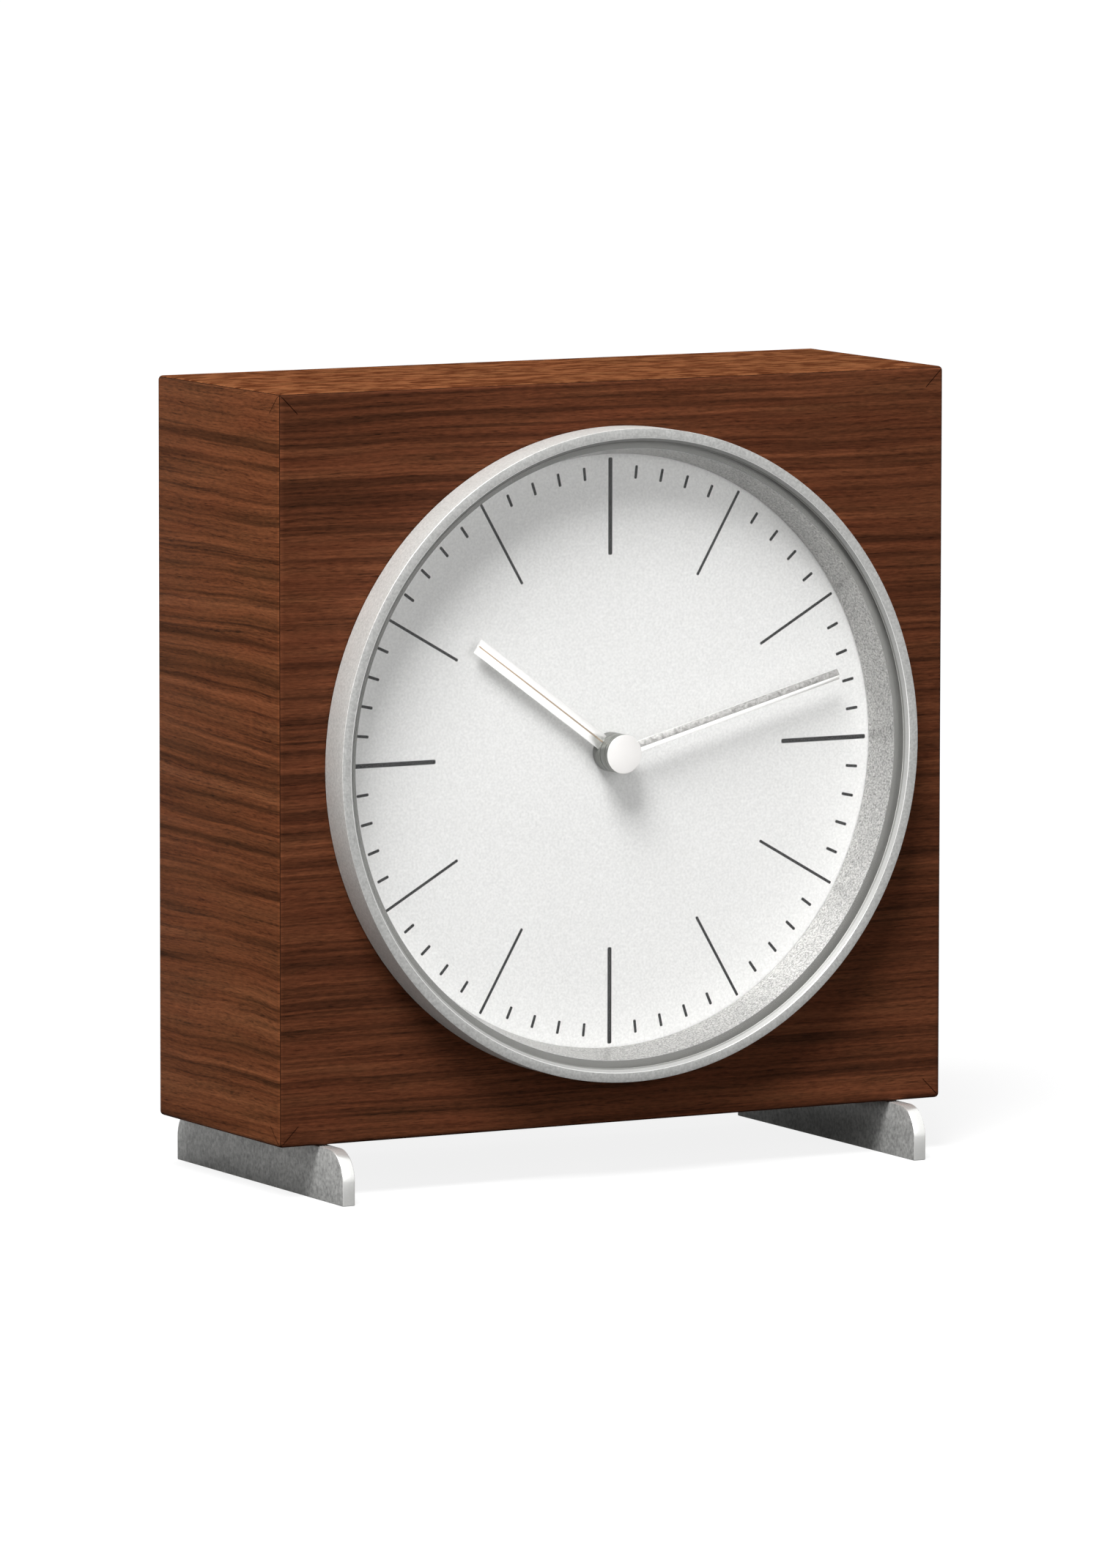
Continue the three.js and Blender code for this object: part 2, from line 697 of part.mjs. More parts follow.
function middlePlate() {
  let piece = box([-innerHalf + fitGap, innerHalf - fitGap], [middlePlateFront, middlePlateBack],
    [cavityFloor + fitGap, middlePlateTop]);
  piece = piece.subtract(
    disc(centre, arborRadius + runGap, middlePlateFront - overrun, middlePlateBack + overrun, smallSegments));
  for (const at of [changeAt, secondAt, firstAt, rotorAt]) {
    piece = piece.subtract(
      disc(at, pivotRadius + runGap, middlePlateFront - overrun, middlePlateBack + overrun, smallSegments));
  }
  // Pillars stand the plate off the front of the housing.
  const margin = 2 * pivotBossRadius;
  for (const x of [-innerHalf + margin, innerHalf - margin]) {
    for (const z of [cavityFloor + margin, middlePlateTop - margin]) {
      piece = piece.add(disc({ x, z }, pivotBossRadius, frontInner + fitGap,
        middlePlateBack - middlePlateThickness / 2, smallSegments));
    }
  }
  return piece;
}

// Gears

// Outline of a gear with involute flanks, one tooth centred on the phase
function gearShape(at, teeth, module, phase) {
  const pitch = teeth * module / 2;
  const base = pitch * Math.cos(pressureAngle);
  const tip = pitch + addendumShare * module;
  const root = pitch - dedendumShare * module;
  const involute = (angle) => Math.tan(angle) - angle;
  const halfTooth = (radius) => {
    const angle = Math.acos(Math.min(base / Math.max(radius, base), 1));
    return Math.PI / (2 * teeth) - backlash / (2 * pitch) + involute(pressureAngle) - involute(angle);
  };
  const radii = root < base ? [root, base, tip] : [root, tip];
  const points = [];
  for (let i = 0; i < teeth; i++) {
    const middle = phase + 2 * Math.PI * i / teeth;
    const flank = radii.map((radius) => ({ radius, angle: middle - halfTooth(radius) }));
    const back = radii.map((radius) => ({ radius, angle: middle + halfTooth(radius) })).reverse();
    for (const { radius, angle } of [...flank, ...back]) {
      points.push(new THREE.Vector2(at.x + radius * Math.cos(angle), at.z + radius * Math.sin(angle)));
    }
  }
  return new THREE.Shape(points);
}

// The phase that puts a space of the second gear where the first gear has a tooth
function meshedPhase(at, teeth, phase, otherAt, otherTeeth) {
  const direction = Math.atan2(otherAt.z - at.z, otherAt.x - at.x);
  const offset = (direction - phase) / (2 * Math.PI / teeth);
  return direction + Math.PI - (2 * Math.PI / otherTeeth) * (1 / 2 - offset);
}

const centrePhase = 0;
const changePhase = meshedPhase(centre, cannonTeeth, centrePhase, changeAt, changeTeeth);
const hourPhase = meshedPhase(changeAt, changePinionTeeth, changePhase, centre, hourTeeth);
const secondPhase = meshedPhase(centre, centreTeeth, centrePhase, secondAt, secondPinionTeeth);
const firstPhase = meshedPhase(secondAt, secondTeeth, secondPhase, firstAt, firstPinionTeeth);
const rotorPhase = meshedPhase(firstAt, firstTeeth, firstPhase, rotorAt, rotorTeeth);

function gear(at, teeth, module, phase, front, back) {
  return plate(gearShape(at, teeth, module, phase), front, back);
}

function centreWheel() {
  const arborFront = dialFront - fitGap - hourHubLength - fitGap - minuteHubLength - fitGap - capLength / 2;
  const cannonBack = changeWheelFront + wheelThickness;
  return disc(centre, arborRadius, arborFront, pivotEnd, smallSegments)
    .add(gear(centre, cannonTeeth, motionModule, centrePhase, changeWheelFront, cannonBack))
    .add(gear(centre, centreTeeth, trainModule, centrePhase, centreWheelFront, centreWheelFront + wheelThickness));
}

function hourWheel() {
  const outer = arborRadius + runGap + hourPipeWall;
  const front = dialFront - fitGap - hourHubLength + fitGap;
  const back = hourWheelFront + wheelThickness;
  return gear(centre, hourTeeth, motionModule, hourPhase, hourWheelFront, back)
    .add(disc(centre, outer, front, back, mediumSegments))
    .subtract(disc(centre, arborRadius + runGap, front - overrun, back + overrun, smallSegments));
}

// A wheel with its pinion in front of it, on one arbor
function wheelWithPinion(at, wheel, pinion, phase, arbor) {
  return disc(at, pivotRadius, arbor.front, arbor.back, smallSegments)
    .add(gear(at, pinion.teeth, pinion.module, phase, pinion.front, wheel.front + wheelThickness / 2))
    .add(gear(at, wheel.teeth, wheel.module, phase, wheel.front, wheel.front + wheelThickness));
}

function changeWheel() {
  return wheelWithPinion(changeAt,
    { teeth: changeTeeth, module: motionModule, front: changeWheelFront },
    { teeth: changePinionTeeth, module: motionModule, front: hourWheelFront }, changePhase,
    { front: frontInner - pivotDepth + fitGap, back: middlePlateBack - fitGap });
}

function secondWheel() {
  return wheelWithPinion(secondAt,
    { teeth: secondTeeth, module: trainModule, front: secondWheelFront },
    { teeth: secondPinionTeeth, module: trainModule, front: centreWheelFront }, secondPhase,
    { front: middlePlateFront + fitGap, back: pivotEnd });
}

function firstWheel() {
  return wheelWithPinion(firstAt,
    { teeth: firstTeeth, module: rotorModule, front: firstWheelFront },
    { teeth: firstPinionTeeth, module: trainModule, front: secondWheelFront }, firstPhase,
    { front: middlePlateFront + fitGap, back: pivotEnd });
}

function rotor() {
  const pinionBack = firstWheelFront + wheelThickness;
  return disc(rotorAt, pivotRadius, middlePlateFront + fitGap, pivotEnd, smallSegments)
    .add(gear(rotorAt, rotorTeeth, rotorModule, rotorPhase, firstWheelFront, pinionBack))
    .add(disc(rotorAt, magnetRadius, magnetFront, magnetBack, mediumSegments));
}

// Motor and receiver

function statorWindow() {
  return {
    x: [rotorAt.x - statorReach, rotorAt.x - magnetRadius - 2 * statorRim],
    z: [rotorAt.z - coilFlangeRadius - fitGap, rotorAt.z + coilFlangeRadius + fitGap],
  };
}

function stator() {
  const inside = statorWindow();
  const right = rotorAt.x + magnetRadius + statorRim + statorPostRadius;
  let piece = box([inside.x[0] - statorRim, right], [statorFront, statorBack],
    [inside.z[0] - statorRim, inside.z[1] + statorRim]);
  piece = piece.subtract(box(inside.x, [statorFront - overrun, statorBack + overrun], inside.z));
  const hole = magnetRadius + levelGap;
  return piece.subtract(disc(rotorAt, hole, statorFront - overrun, statorBack + overrun, mediumSegments));
}

function motorCoil() {
  const inside = statorWindow();
  const left = inside.x[0] + fitGap;
  const right = inside.x[1] - fitGap;
  const y = (statorFront + statorBack) / 2;
  return turnedAlongX(y, rotorAt.z, [
    [0, left], [coilFlangeRadius, left], [coilFlangeRadius, left + coilFlangeThickness],
    [coilRadius, left + coilFlangeThickness], [coilRadius, right - coilFlangeThickness],
    [coilFlangeRadius, right - coilFlangeThickness], [coilFlangeRadius, right], [0, right],
  ], smallSegments);
}

function antennaRod() {
  return turnedAlongX(rodY, rodZ, [
    [0, -rodHalfLength], [rodRadius, -rodHalfLength], [rodRadius, rodHalfLength], [0, rodHalfLength],
  ], mediumSegments);
}

function antennaCoil() {
  const bore = rodRadius + runGap;
  return turnedAlongX(rodY, rodZ, [
    [bore, -rodCoilLength / 2], [rodCoilRadius, -rodCoilLength / 2], [rodCoilRadius, rodCoilLength / 2],
    [bore, rodCoilLength / 2], [bore, -rodCoilLength / 2],
  ], mediumSegments);
}

const boardBack = backInner - fitGap;
const boardFront = boardBack - boardThickness;
const boardZ = cavityTop - boardMargin - boardHeight / 2;

function circuitBoard() {
  const half = innerHalf - boardMargin;
  return box([-half, half], [boardFront, boardBack], [boardZ - boardHeight / 2, boardZ + boardHeight / 2]);
}

function quartzCrystal() {
  const y = boardFront - fitGap - crystalRadius;
  return turnedAlongX(y, boardZ, [
    [0, crystalOffset], [crystalRadius, crystalOffset],
    [crystalRadius, crystalOffset + crystalLength], [0, crystalOffset + crystalLength],
  ], smallSegments);
}

function receiverChip() {
  return box([-crystalOffset - chipWidth, -crystalOffset],
    [boardFront - fitGap - chipThickness, boardFront - fitGap], [boardZ - chipHeight / 2, boardZ + chipHeight / 2]);
}

// Battery and its contacts

function battery() {
  const left = -batteryLength / 2 - batteryNubLength / 2;
  const shoulder = left + batteryLength - batteryNubLength;
  return turnedAlongX(batteryY, batteryZ, [
    [0, left], [batteryRadius, left], [batteryRadius, shoulder],
    [batteryNubRadius, shoulder], [batteryNubRadius, shoulder + batteryNubLength], [0, shoulder + batteryNubLength],
  ], mediumSegments);
}

// A strip of sprung metal at one end of the bay, bowed towards the battery
function batteryContact(wall, towards, reach) {
  const half = contactWidth / 2;
  const t = contactThickness;
  const outline = new THREE.Shape([
    [0, -half], [0, half], [t, half], [reach, half / 2], [reach, -half / 2], [t, -half],
  ].map(([x, z]) => new THREE.Vector2(wall + towards * x, batteryZ + z)));
  return plate(outline, batteryY - half, batteryY + half);
}

function positiveContact() {
  const wall = bayHalfLength - fitGap;
  const end = batteryLength / 2 - batteryNubLength / 2 + fitGap;
  return batteryContact(wall, -1, wall - end);
}

function negativeContact() {
  const wall = bayHalfLength - fitGap;
  const end = batteryLength / 2 + batteryNubLength / 2 + fitGap;
  return batteryContact(-wall, 1, wall - end);
}

function button(place) {
  const flangeBack = backInner - fitGap;
  const flangeFront = flangeBack - buttonFlangeThickness;
  return turned(place, [
    [0, flangeFront - buttonStemLength], [buttonStemRadius, flangeFront - buttonStemLength],
    [buttonStemRadius, flangeFront], [buttonFlangeRadius, flangeFront], [buttonFlangeRadius, flangeBack],
    [buttonRadius, flangeBack], [buttonRadius, movementBack + buttonStand], [0, movementBack + buttonStand],
  ], smallSegments);
}

// Hands

// A straight hand with square ends and a low ridge down its middle, from the hub's wall outwards
function blade(length, width, back, degrees) {
  const section = new THREE.Shape([
    [-width / 2, 0], [width / 2, 0], [width / 2, handEdge], [0, handEdge + handRidge], [-width / 2, handEdge],
  ].map(([x, y]) => new THREE.Vector2(x, y)));
  const start = hubRadius / 2;
  const geometry = new THREE.ExtrudeGeometry(section, { depth: length - start, bevelEnabled: false });
  geometry.translate(0, 0, start);
  // Upright at twelve, thickness to the front, then turned to the hour or minute.
  geometry.scale(1, -1, 1);
  geometry.rotateY(THREE.MathUtils.degToRad(degrees));
  geometry.translate(centre.x, back, centre.z);
  return solid(geometry);
}

const hourHandLength = reflectorRearRadius - hourHandMargin;
const minuteHandLength = reflectorRearRadius - minuteHandMargin;
const hourHubBack = dialFront - fitGap;
const hourHubFront = hourHubBack - hourHubLength;
const minuteHubBack = hourHubFront - fitGap;
const minuteHubFront = minuteHubBack - minuteHubLength;
const capBack = minuteHubFront - fitGap;
const capFront = capBack - capLength;

function hourHand() {
  const bore = arborRadius + runGap + hourPipeWall + fitGap;
  const back = hourHubFront + handSetback + handEdge + handRidge;
  return disc(centre, hubRadius, hourHubFront, hourHubBack, mediumSegments)
    .add(blade(hourHandLength, hourHandWidth, back, hourHandAngle))
    .subtract(disc(centre, bore, hourHubFront - overrun, hourHubBack + overrun, mediumSegments));
}

function minuteHand() {
  const bore = arborRadius + fitGap;
  const back = minuteHubFront + handSetback + handEdge + handRidge;
  return disc(centre, hubRadius, minuteHubFront, minuteHubBack, mediumSegments)
    .add(blade(minuteHandLength, minuteHandWidth, back, minuteHandAngle))
    .subtract(disc(centre, bore, minuteHubFront - overrun, minuteHubBack + overrun, mediumSegments));
}

function hubCap() {
  const bore = arborRadius + fitGap;
  const boreEnd = capBack - capLength / 2 - fitGap;
  return turned(centre, [
    [bore, capBack], [bore, boreEnd], [0, boreEnd], [0, capFront],
    [hubRadius - capEdge, capFront], [hubRadius, capFront + capEdge], [hubRadius, capBack], [bore, capBack],
  ].reverse(), mediumSegments);
}

// Materials

const finish = (color, roughness, metalness, more = {}) => (
  new THREE.MeshStandardMaterial({ color, roughness, metalness, ...more }));
const veneer = finish(0x5a3222, 0.45, 0);
const darkBoard = finish(0x241c19, 0.8, 0);
const plainWood = finish(0xb08d62, 0.8, 0);
const satinAluminium = finish(0xd4d4d1, 0.4, 0.9);
const paleAluminium = finish(0xe6e5e1, 0.35, 0.8);
const dialSilver = finish(0xd5d5d4, 0.5, 0.3);
const clearGlass = finish(0xffffff, 0.02, 0, { transparent: true, opacity: 0.12 });
const zincSteel = finish(0xa9abad, 0.35, 0.9);
const brass = finish(0xc29a4b, 0.3, 0.9);
const blackPlastic = finish(0x1b1b1c, 0.5, 0);
const whitePlastic = finish(0xe9e7df, 0.5, 0);
const rubber = finish(0x141414, 0.9, 0);
const magnetGrey = finish(0x55585a, 0.5, 0.6);
const copper = finish(0xb0673a, 0.35, 0.9);
const ferrite = finish(0x34322f, 0.7, 0.1);
const boardGreen = finish(0x2c5a3a, 0.5, 0);
const batteryWrap = finish(0x3f4a52, 0.35, 0.2);
const buttonGrey = finish(0x8c8d8b, 0.5, 0);

// The clock

const clock = new THREE.Group();

function addPiece(name, piece, material) {
  const mesh = piece.getMesh();
  const geometry = new THREE.BufferGeometry();
  geometry.setAttribute('position', new THREE.BufferAttribute(new Float32Array(mesh.vertProperties), 3));
  geometry.setIndex(new THREE.BufferAttribute(new Uint32Array(mesh.triVerts), 1));
  const flat = geometry.toNonIndexed();
  flat.computeVertexNormals();
  const node = new THREE.Mesh(flat, material);
  node.name = name;
  clock.add(node);
}

addPiece('front_panel', frontPanel(), veneer);
addPiece('left_side_panel', mitredPanel(caseHeight / 2,
  (inward, along) => [-caseWidth / 2 + inward, dialHeight + along]), veneer);
addPiece('right_side_panel', mitredPanel(caseHeight / 2,
  (inward, along) => [caseWidth / 2 - inward, dialHeight + along]), veneer);
addPiece('top_panel', mitredPanel(caseWidth / 2, (inward, along) => [along, caseTop - inward]), veneer);
addPiece('bottom_panel', bottomPanel(), veneer);
addPiece('rear_panel', rearPanel(), darkBoard);
for (const corner of corners) {
  addPiece(`corner_block_${corner.name}`, cornerBlock(corner), plainWood);
  const length = rearPanelThickness + fitGap + rearScrewGrip;
  addPiece(`rear_panel_screw_${corner.name}`,
    screwForward(cornerScrewAt(corner), rearPanelBack, length), zincSteel);
}
addPiece('left_foot', foot(-1), satinAluminium);
addPiece('right_foot', foot(1), satinAluminium);
for (const place of footScrewPlaces()) {
  addPiece(`foot_screw_${place.name}`, footScrew(place), zincSteel);
}
addPiece('bezel', bezel(), satinAluminium);
addPiece('glass', disc(centre, bezelRecessRadius - fitGap, glassFront, glassBack, largeSegments), clearGlass);
addPiece('reflector_ring', reflector(), satinAluminium);
addPiece('dial', dial(), dialSilver);
addPiece('dial_tray', dialTray(), blackPlastic);
for (const corner of corners) {
  const at = { x: corner.x * trayScrewX, z: dialHeight + corner.z * trayScrewZ };
  const length = trayFlangeThickness + fitGap + trayScrewGrip;
  addPiece(`tray_screw_${corner.name}`, screwForward(at, trayFlangeBack, length), zincSteel);
}
addPiece('hour_hand', hourHand(), paleAluminium);
addPiece('minute_hand', minuteHand(), paleAluminium);
addPiece('hub_cap', hubCap(), paleAluminium);
addPiece('movement_nut', movementNut(), brass);
addPiece('movement_washer', movementWasher(), rubber);
addPiece('movement_front_plate', movementFrontPlate(), blackPlastic);
addPiece('movement_case', movementCase(), blackPlastic);
addPiece('middle_plate', middlePlate(), whitePlastic);
addPiece('centre_wheel', centreWheel(), whitePlastic);
addPiece('hour_wheel', hourWheel(), whitePlastic);
addPiece('change_wheel', changeWheel(), whitePlastic);
addPiece('second_wheel', secondWheel(), whitePlastic);
addPiece('first_wheel', firstWheel(), whitePlastic);
addPiece('rotor', rotor(), magnetGrey);
addPiece('stator', stator(), zincSteel);
addPiece('motor_coil', motorCoil(), copper);
addPiece('antenna_rod', antennaRod(), ferrite);
addPiece('antenna_coil', antennaCoil(), copper);
addPiece('circuit_board', circuitBoard(), boardGreen);
addPiece('quartz_crystal', quartzCrystal(), zincSteel);
addPiece('receiver_chip', receiverChip(), blackPlastic);
addPiece('battery', battery(), batteryWrap);
addPiece('positive_contact', positiveContact(), zincSteel);
addPiece('negative_contact', negativeContact(), zincSteel);
for (const place of buttonPlaces()) {
  addPiece(place.name, button(place), buttonGrey);
}

export default clock;
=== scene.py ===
import json
import math

import bmesh
import bpy
from mathutils import Matrix, Vector


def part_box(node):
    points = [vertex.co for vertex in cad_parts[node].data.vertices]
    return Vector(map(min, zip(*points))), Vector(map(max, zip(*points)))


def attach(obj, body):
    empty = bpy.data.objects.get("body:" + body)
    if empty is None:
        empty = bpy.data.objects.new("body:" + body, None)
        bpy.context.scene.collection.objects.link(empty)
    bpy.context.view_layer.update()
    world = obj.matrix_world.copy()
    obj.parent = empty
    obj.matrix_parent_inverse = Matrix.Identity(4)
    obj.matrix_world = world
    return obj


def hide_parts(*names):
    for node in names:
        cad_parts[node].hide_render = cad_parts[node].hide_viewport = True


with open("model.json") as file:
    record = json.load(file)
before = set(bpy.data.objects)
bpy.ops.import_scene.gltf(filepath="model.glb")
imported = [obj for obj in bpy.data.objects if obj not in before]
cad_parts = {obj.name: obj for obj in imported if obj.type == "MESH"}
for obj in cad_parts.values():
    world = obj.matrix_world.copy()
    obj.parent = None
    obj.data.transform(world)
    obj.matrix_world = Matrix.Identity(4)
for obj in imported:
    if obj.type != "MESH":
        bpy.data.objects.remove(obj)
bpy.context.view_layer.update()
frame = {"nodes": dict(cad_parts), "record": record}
mm = 0.001
quarter = math.pi / 2  # of a turn
tiny = 0.001 * mm  # points closer than this are one point
near = 0.01 * mm  # how far a point may lie off the plane that it is picked by
facing = 0.9  # least share of a normal along the axis that a face looks along
print("frame loaded")


def addObject(name, data):
    made = bpy.data.objects.new(name, data)
    bpy.context.scene.collection.objects.link(made)
    return made


# Camera: the photograph's view, aimed at the middle of the case

photoView = {
    "azimuth": -28.649,  # in degrees, below zero to the left
    "elevation": 6.598,
    "roll": 0.073,
    "distance": 2515.3 * mm,
    "sideways": -0.542 * mm,
    "upwards": -9.79 * mm,
    "lens": 262.2,  # on a frame 36 high
    "frameHeight": 36,
    "clipStart": 0.05,
}

faceLow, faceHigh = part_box("front_panel")
dialCentre = Vector((0, 0, (faceLow.z + faceHigh.z) / 2))


def makeCamera():
    turn = math.radians(photoView["azimuth"])
    rise = math.radians(photoView["elevation"])
    back = Vector((math.sin(turn) * math.cos(rise), -math.cos(turn) * math.cos(rise), math.sin(rise)))
    right = Vector((math.cos(turn), math.sin(turn), 0))
    up = back.cross(right)
    place = dialCentre + right * photoView["sideways"] + up * photoView["upwards"]
    place += back * photoView["distance"]
    data = bpy.data.cameras.new("camera")
    data.sensor_fit = "VERTICAL"
    data.sensor_height = photoView["frameHeight"]
    data.lens = photoView["lens"]
    data.clip_start = photoView["clipStart"]
    camera = addObject("camera", data)
    axes = Matrix((right, up, back)).transposed().to_4x4()
    roll = Matrix.Rotation(math.radians(photoView["roll"]), 4, "Z")
    camera.matrix_world = Matrix.Translation(place) @ axes @ roll
    bpy.context.scene.camera = camera


makeCamera()
print("camera placed")


# Material nodes: an input takes a value or a socket, and a socket knows its tree

def plug(node, inputs):
    for key, value in inputs.items():
        if isinstance(value, bpy.types.NodeSocket):
            node.id_data.links.new(value, node.inputs[key])
        else:
            node.inputs[key].default_value = value


def addNode(tree, kind, inputs=None, **settings):
    node = tree.nodes.new("ShaderNode" + kind)
    for key, value in settings.items():
        setattr(node, key, value)
    plug(node, inputs or {})
    return node


def calculate(operation, first, second):
    tree = (first if isinstance(first, bpy.types.NodeSocket) else second).id_data
    return addNode(tree, "Math", {0: first, 1: second}, operation=operation).outputs[0]


def times(first, second):
    return calculate("MULTIPLY", first, second)


def plus(first, second):
    return calculate("ADD", first, second)


def minus(first, second):
    return calculate("SUBTRACT", first, second)


def larger(first, second):
    return calculate("MAXIMUM", first, second)


# A noise about zero instead of a half
def centred(noise, amount):
    return times(minus(noise, 0.5), amount)


def mixColours(factor, first, second, blend="MIX"):
    return addNode(first.id_data, "Mix", {0: factor, 6: first, 7: second},
                   data_type="RGBA", blend_type=blend).outputs[2]


def tint(colour, red, rest):
    shares = addNode(colour.id_data, "CombineColor", {0: red, 1: rest, 2: rest})
    return mixColours(1.0, colour, shares.outputs[0], "MULTIPLY")


def rescale(value, fromLow, fromHigh, toLow=0.0, toHigh=1.0):
    return addNode(value.id_data, "MapRange",
                   {0: value, 1: fromLow, 2: fromHigh, 3: toLow, 4: toHigh}).outputs[0]


def noiseOf(vector, scale, detail, roughness=0.5):
    return addNode(vector.id_data, "TexNoise",
                   {"Vector": vector, "Scale": scale, "Detail": detail, "Roughness": roughness}).outputs["Fac"]


def stretched(axes, across, scales):
    scaled = [times(axis, scale) for axis, scale in zip((axes[0], axes[1], across), scales)]
    return addNode(across.id_data, "CombineXYZ", dict(enumerate(scaled))).outputs[0]


surfaceOutputs = {"Color": "NodeSocketColor", "Roughness": "NodeSocketFloat", "Height": "NodeSocketFloat"}


def newGroup(name, values):
    group = bpy.data.node_groups.new(name, "ShaderNodeTree")
    group.interface.new_socket(name="Vector", in_out="INPUT", socket_type="NodeSocketVector")
    for label, value in values.items():
        kind = "NodeSocketColor" if isinstance(value, tuple) else "NodeSocketFloat"
        group.interface.new_socket(name=label, in_out="INPUT", socket_type=kind).default_value = value
    for label, kind in surfaceOutputs.items():
        group.interface.new_socket(name=label, in_out="OUTPUT", socket_type=kind)
    return group, group.nodes.new("NodeGroupInput").outputs, group.nodes.new("NodeGroupOutput")


# Walnut veneer with its grain along the pattern's X

veneerLayers = {
    # scales along, through and across the grain, detail, roughness
    "bend": ((8, 8, 18), 1.0, 0.5),
    "wobble": ((55, 55, 70), 1.0, 0.5),
    "strands": ((9, 9, 900), 2.0, 0.55),
    "lines": ((30, 30, 1300), 3.0, 0.65),
    "fibres": ((450, 450, 3000), 2.0, 0.6),
    "flecks": ((170, 170, 420), 3.0, 0.6),
    "pores": ((260, 260, 3400), 1.0, 0.5),
    "hue": ((40, 40, 260), 2.0, 0.5),
}
veneerRanges = {
    # where the noise starts to show and where it shows in full
    "darkBand": (0.56, 0.66),
    "strands": (0.53, 0.66),
    "lightBand": (0.46, 0.34),
    "flecks": (0.42, 0.57),
    "pores": (0.60, 0.70),
}
veneerAmounts = {"wobble": 0.14, "darkBand": 0.7, "strands": 0.6, "lightBand": 0.6, "lines": 1.7, "fibres": 1.3,
                 "pores": 0.3, "hue": 0.25, "fibreHeight": 0.4}
veneerGloss = (0.3, 0.7, 0.42, 0.55)  # from band noise to roughness
bandStretch = 5.0


def makeVeneerGroup():
    group, given, out = newGroup("veneerGrain", {
        "Dark": (0.032, 0.0108, 0.0050, 1), "Middle": (0.090, 0.0285, 0.0125, 1),
        "Light": (0.140, 0.047, 0.0205, 1), "Bands": 430.0, "Waves": 0.0045, "Contrast": 1.0, "Flecks": 0.0})
    axes = addNode(group, "SeparateXYZ", {0: given["Vector"]}).outputs
    amounts = veneerAmounts

    def layer(name, across):
        scales, detail, roughness = veneerLayers[name]
        return noiseOf(stretched(axes, across, scales), 1.0, detail, roughness)

    def mask(name, noise):
        return rescale(noise, *veneerRanges[name])

    # a slow bend of the whole figure and a small wobble of its lines
    bend = plus(minus(layer("bend", axes[2]), 0.5), centred(layer("wobble", axes[2]), amounts["wobble"]))
    level = plus(axes[2], times(bend, given["Waves"]))
    bands = noiseOf(stretched(axes, level, (bandStretch, bandStretch, given["Bands"])), 1.0, 2.0)
    fibres = layer("fibres", level)
    dark = larger(times(mask("darkBand", bands), amounts["darkBand"]),
                  times(mask("strands", layer("strands", level)), amounts["strands"]))
    light = times(mask("lightBand", bands), amounts["lightBand"])
    colour = mixColours(light, mixColours(dark, given["Middle"], given["Dark"]), given["Light"])
    flecks = mixColours(mask("flecks", layer("flecks", axes[2])), given["Dark"], given["Light"])
    colour = mixColours(given["Flecks"], colour, flecks)
    pores = mask("pores", layer("pores", level))
    fine = plus(centred(layer("lines", level), amounts["lines"]), centred(fibres, amounts["fibres"]))
    fine = minus(fine, times(pores, amounts["pores"]))
    shade = plus(times(fine, given["Contrast"]), 1.0)
    warm = plus(shade, centred(layer("hue", level), amounts["hue"]))
    plug(out, {"Color": tint(colour, warm, shade), "Roughness": rescale(bands, *veneerGloss),
               "Height": minus(times(fibres, amounts["fibreHeight"]), pores)})
    return group


# Satin metal: soft blotches, a fine grain and a matching change of gloss
satinGain = 2.0  # from noise to brightness


def makeSatinGroup():
    group, given, out = newGroup("satinMetal", {
        "Base": (0.7, 0.7, 0.69, 1), "Blotches": 0.08, "Blotch Scale": 140.0, "Grain": 0.08,
        "Grain Scale": 3200.0, "Gloss": 0.4})
    grain = noiseOf(given["Vector"], given["Grain Scale"], detail=2.0)
    blotches = centred(noiseOf(given["Vector"], given["Blotch Scale"], detail=3.0), given["Blotches"])
    shade = plus(times(plus(blotches, centred(grain, given["Grain"])), satinGain), 1.0)
    plug(out, {"Color": tint(given["Base"], shade, shade), "Roughness": plus(given["Gloss"], blotches),
               "Height": grain})
    return group


# Plastic, rubber, board and raw wood: a fine skin over a slow change of tone
skinShares = {"patch": 0.6, "fine": 0.4, "gloss": 0.1}
skinRange = (0.35, 0.65)


def makeSkinGroup():
    group, given, out = newGroup("fineSkin", {
        "Base": (0.02, 0.02, 0.02, 1), "Second": (0.03, 0.03, 0.03, 1), "Patch Scale": 90.0,
        "Skin Scale": 2600.0, "Gloss": 0.5})
    patch = noiseOf(given["Vector"], given["Patch Scale"], detail=4.0)
    fine = noiseOf(given["Vector"], given["Skin Scale"], detail=1.0)
    amount = rescale(plus(times(patch, skinShares["patch"]), times(fine, skinShares["fine"])), *skinRange)
    plug(out, {"Color": mixColours(amount, given["Base"], given["Second"]),
               "Roughness": plus(given["Gloss"], times(patch, skinShares["gloss"])), "Height": fine})
    return group


veneerGroup = makeVeneerGroup()
satinGroup = makeSatinGroup()
skinGroup = makeSkinGroup()


def newMaterial(name):
    material = bpy.data.materials.new(name)
    material.use_nodes = True
    return material, material.node_tree


# A material from one of the groups in Object coordinates; bump holds the relief's strength and height
def finish(name, group, values, shader, bump=(0.2, 0.00002), turn=(0, 0, 0), shift=(0, 0, 0)):
    material, tree = newMaterial(name)
    coordinates = addNode(tree, "TexCoord").outputs["Object"]
    place = addNode(tree, "Mapping", {"Vector": coordinates, "Location": shift, "Rotation": turn})
    pattern = addNode(tree, "Group", node_tree=group)
    plug(pattern, {"Vector": place.outputs[0], **values})
    colour, roughness, height = (pattern.outputs[label] for label in surfaceOutputs)
    relief = addNode(tree, "Bump", {"Strength": bump[0], "Distance": bump[1], "Height": height})
    plug(tree.nodes["Principled BSDF"],
         {"Base Color": colour, "Roughness": roughness, "Normal": relief.outputs[0], **shader})
    return material


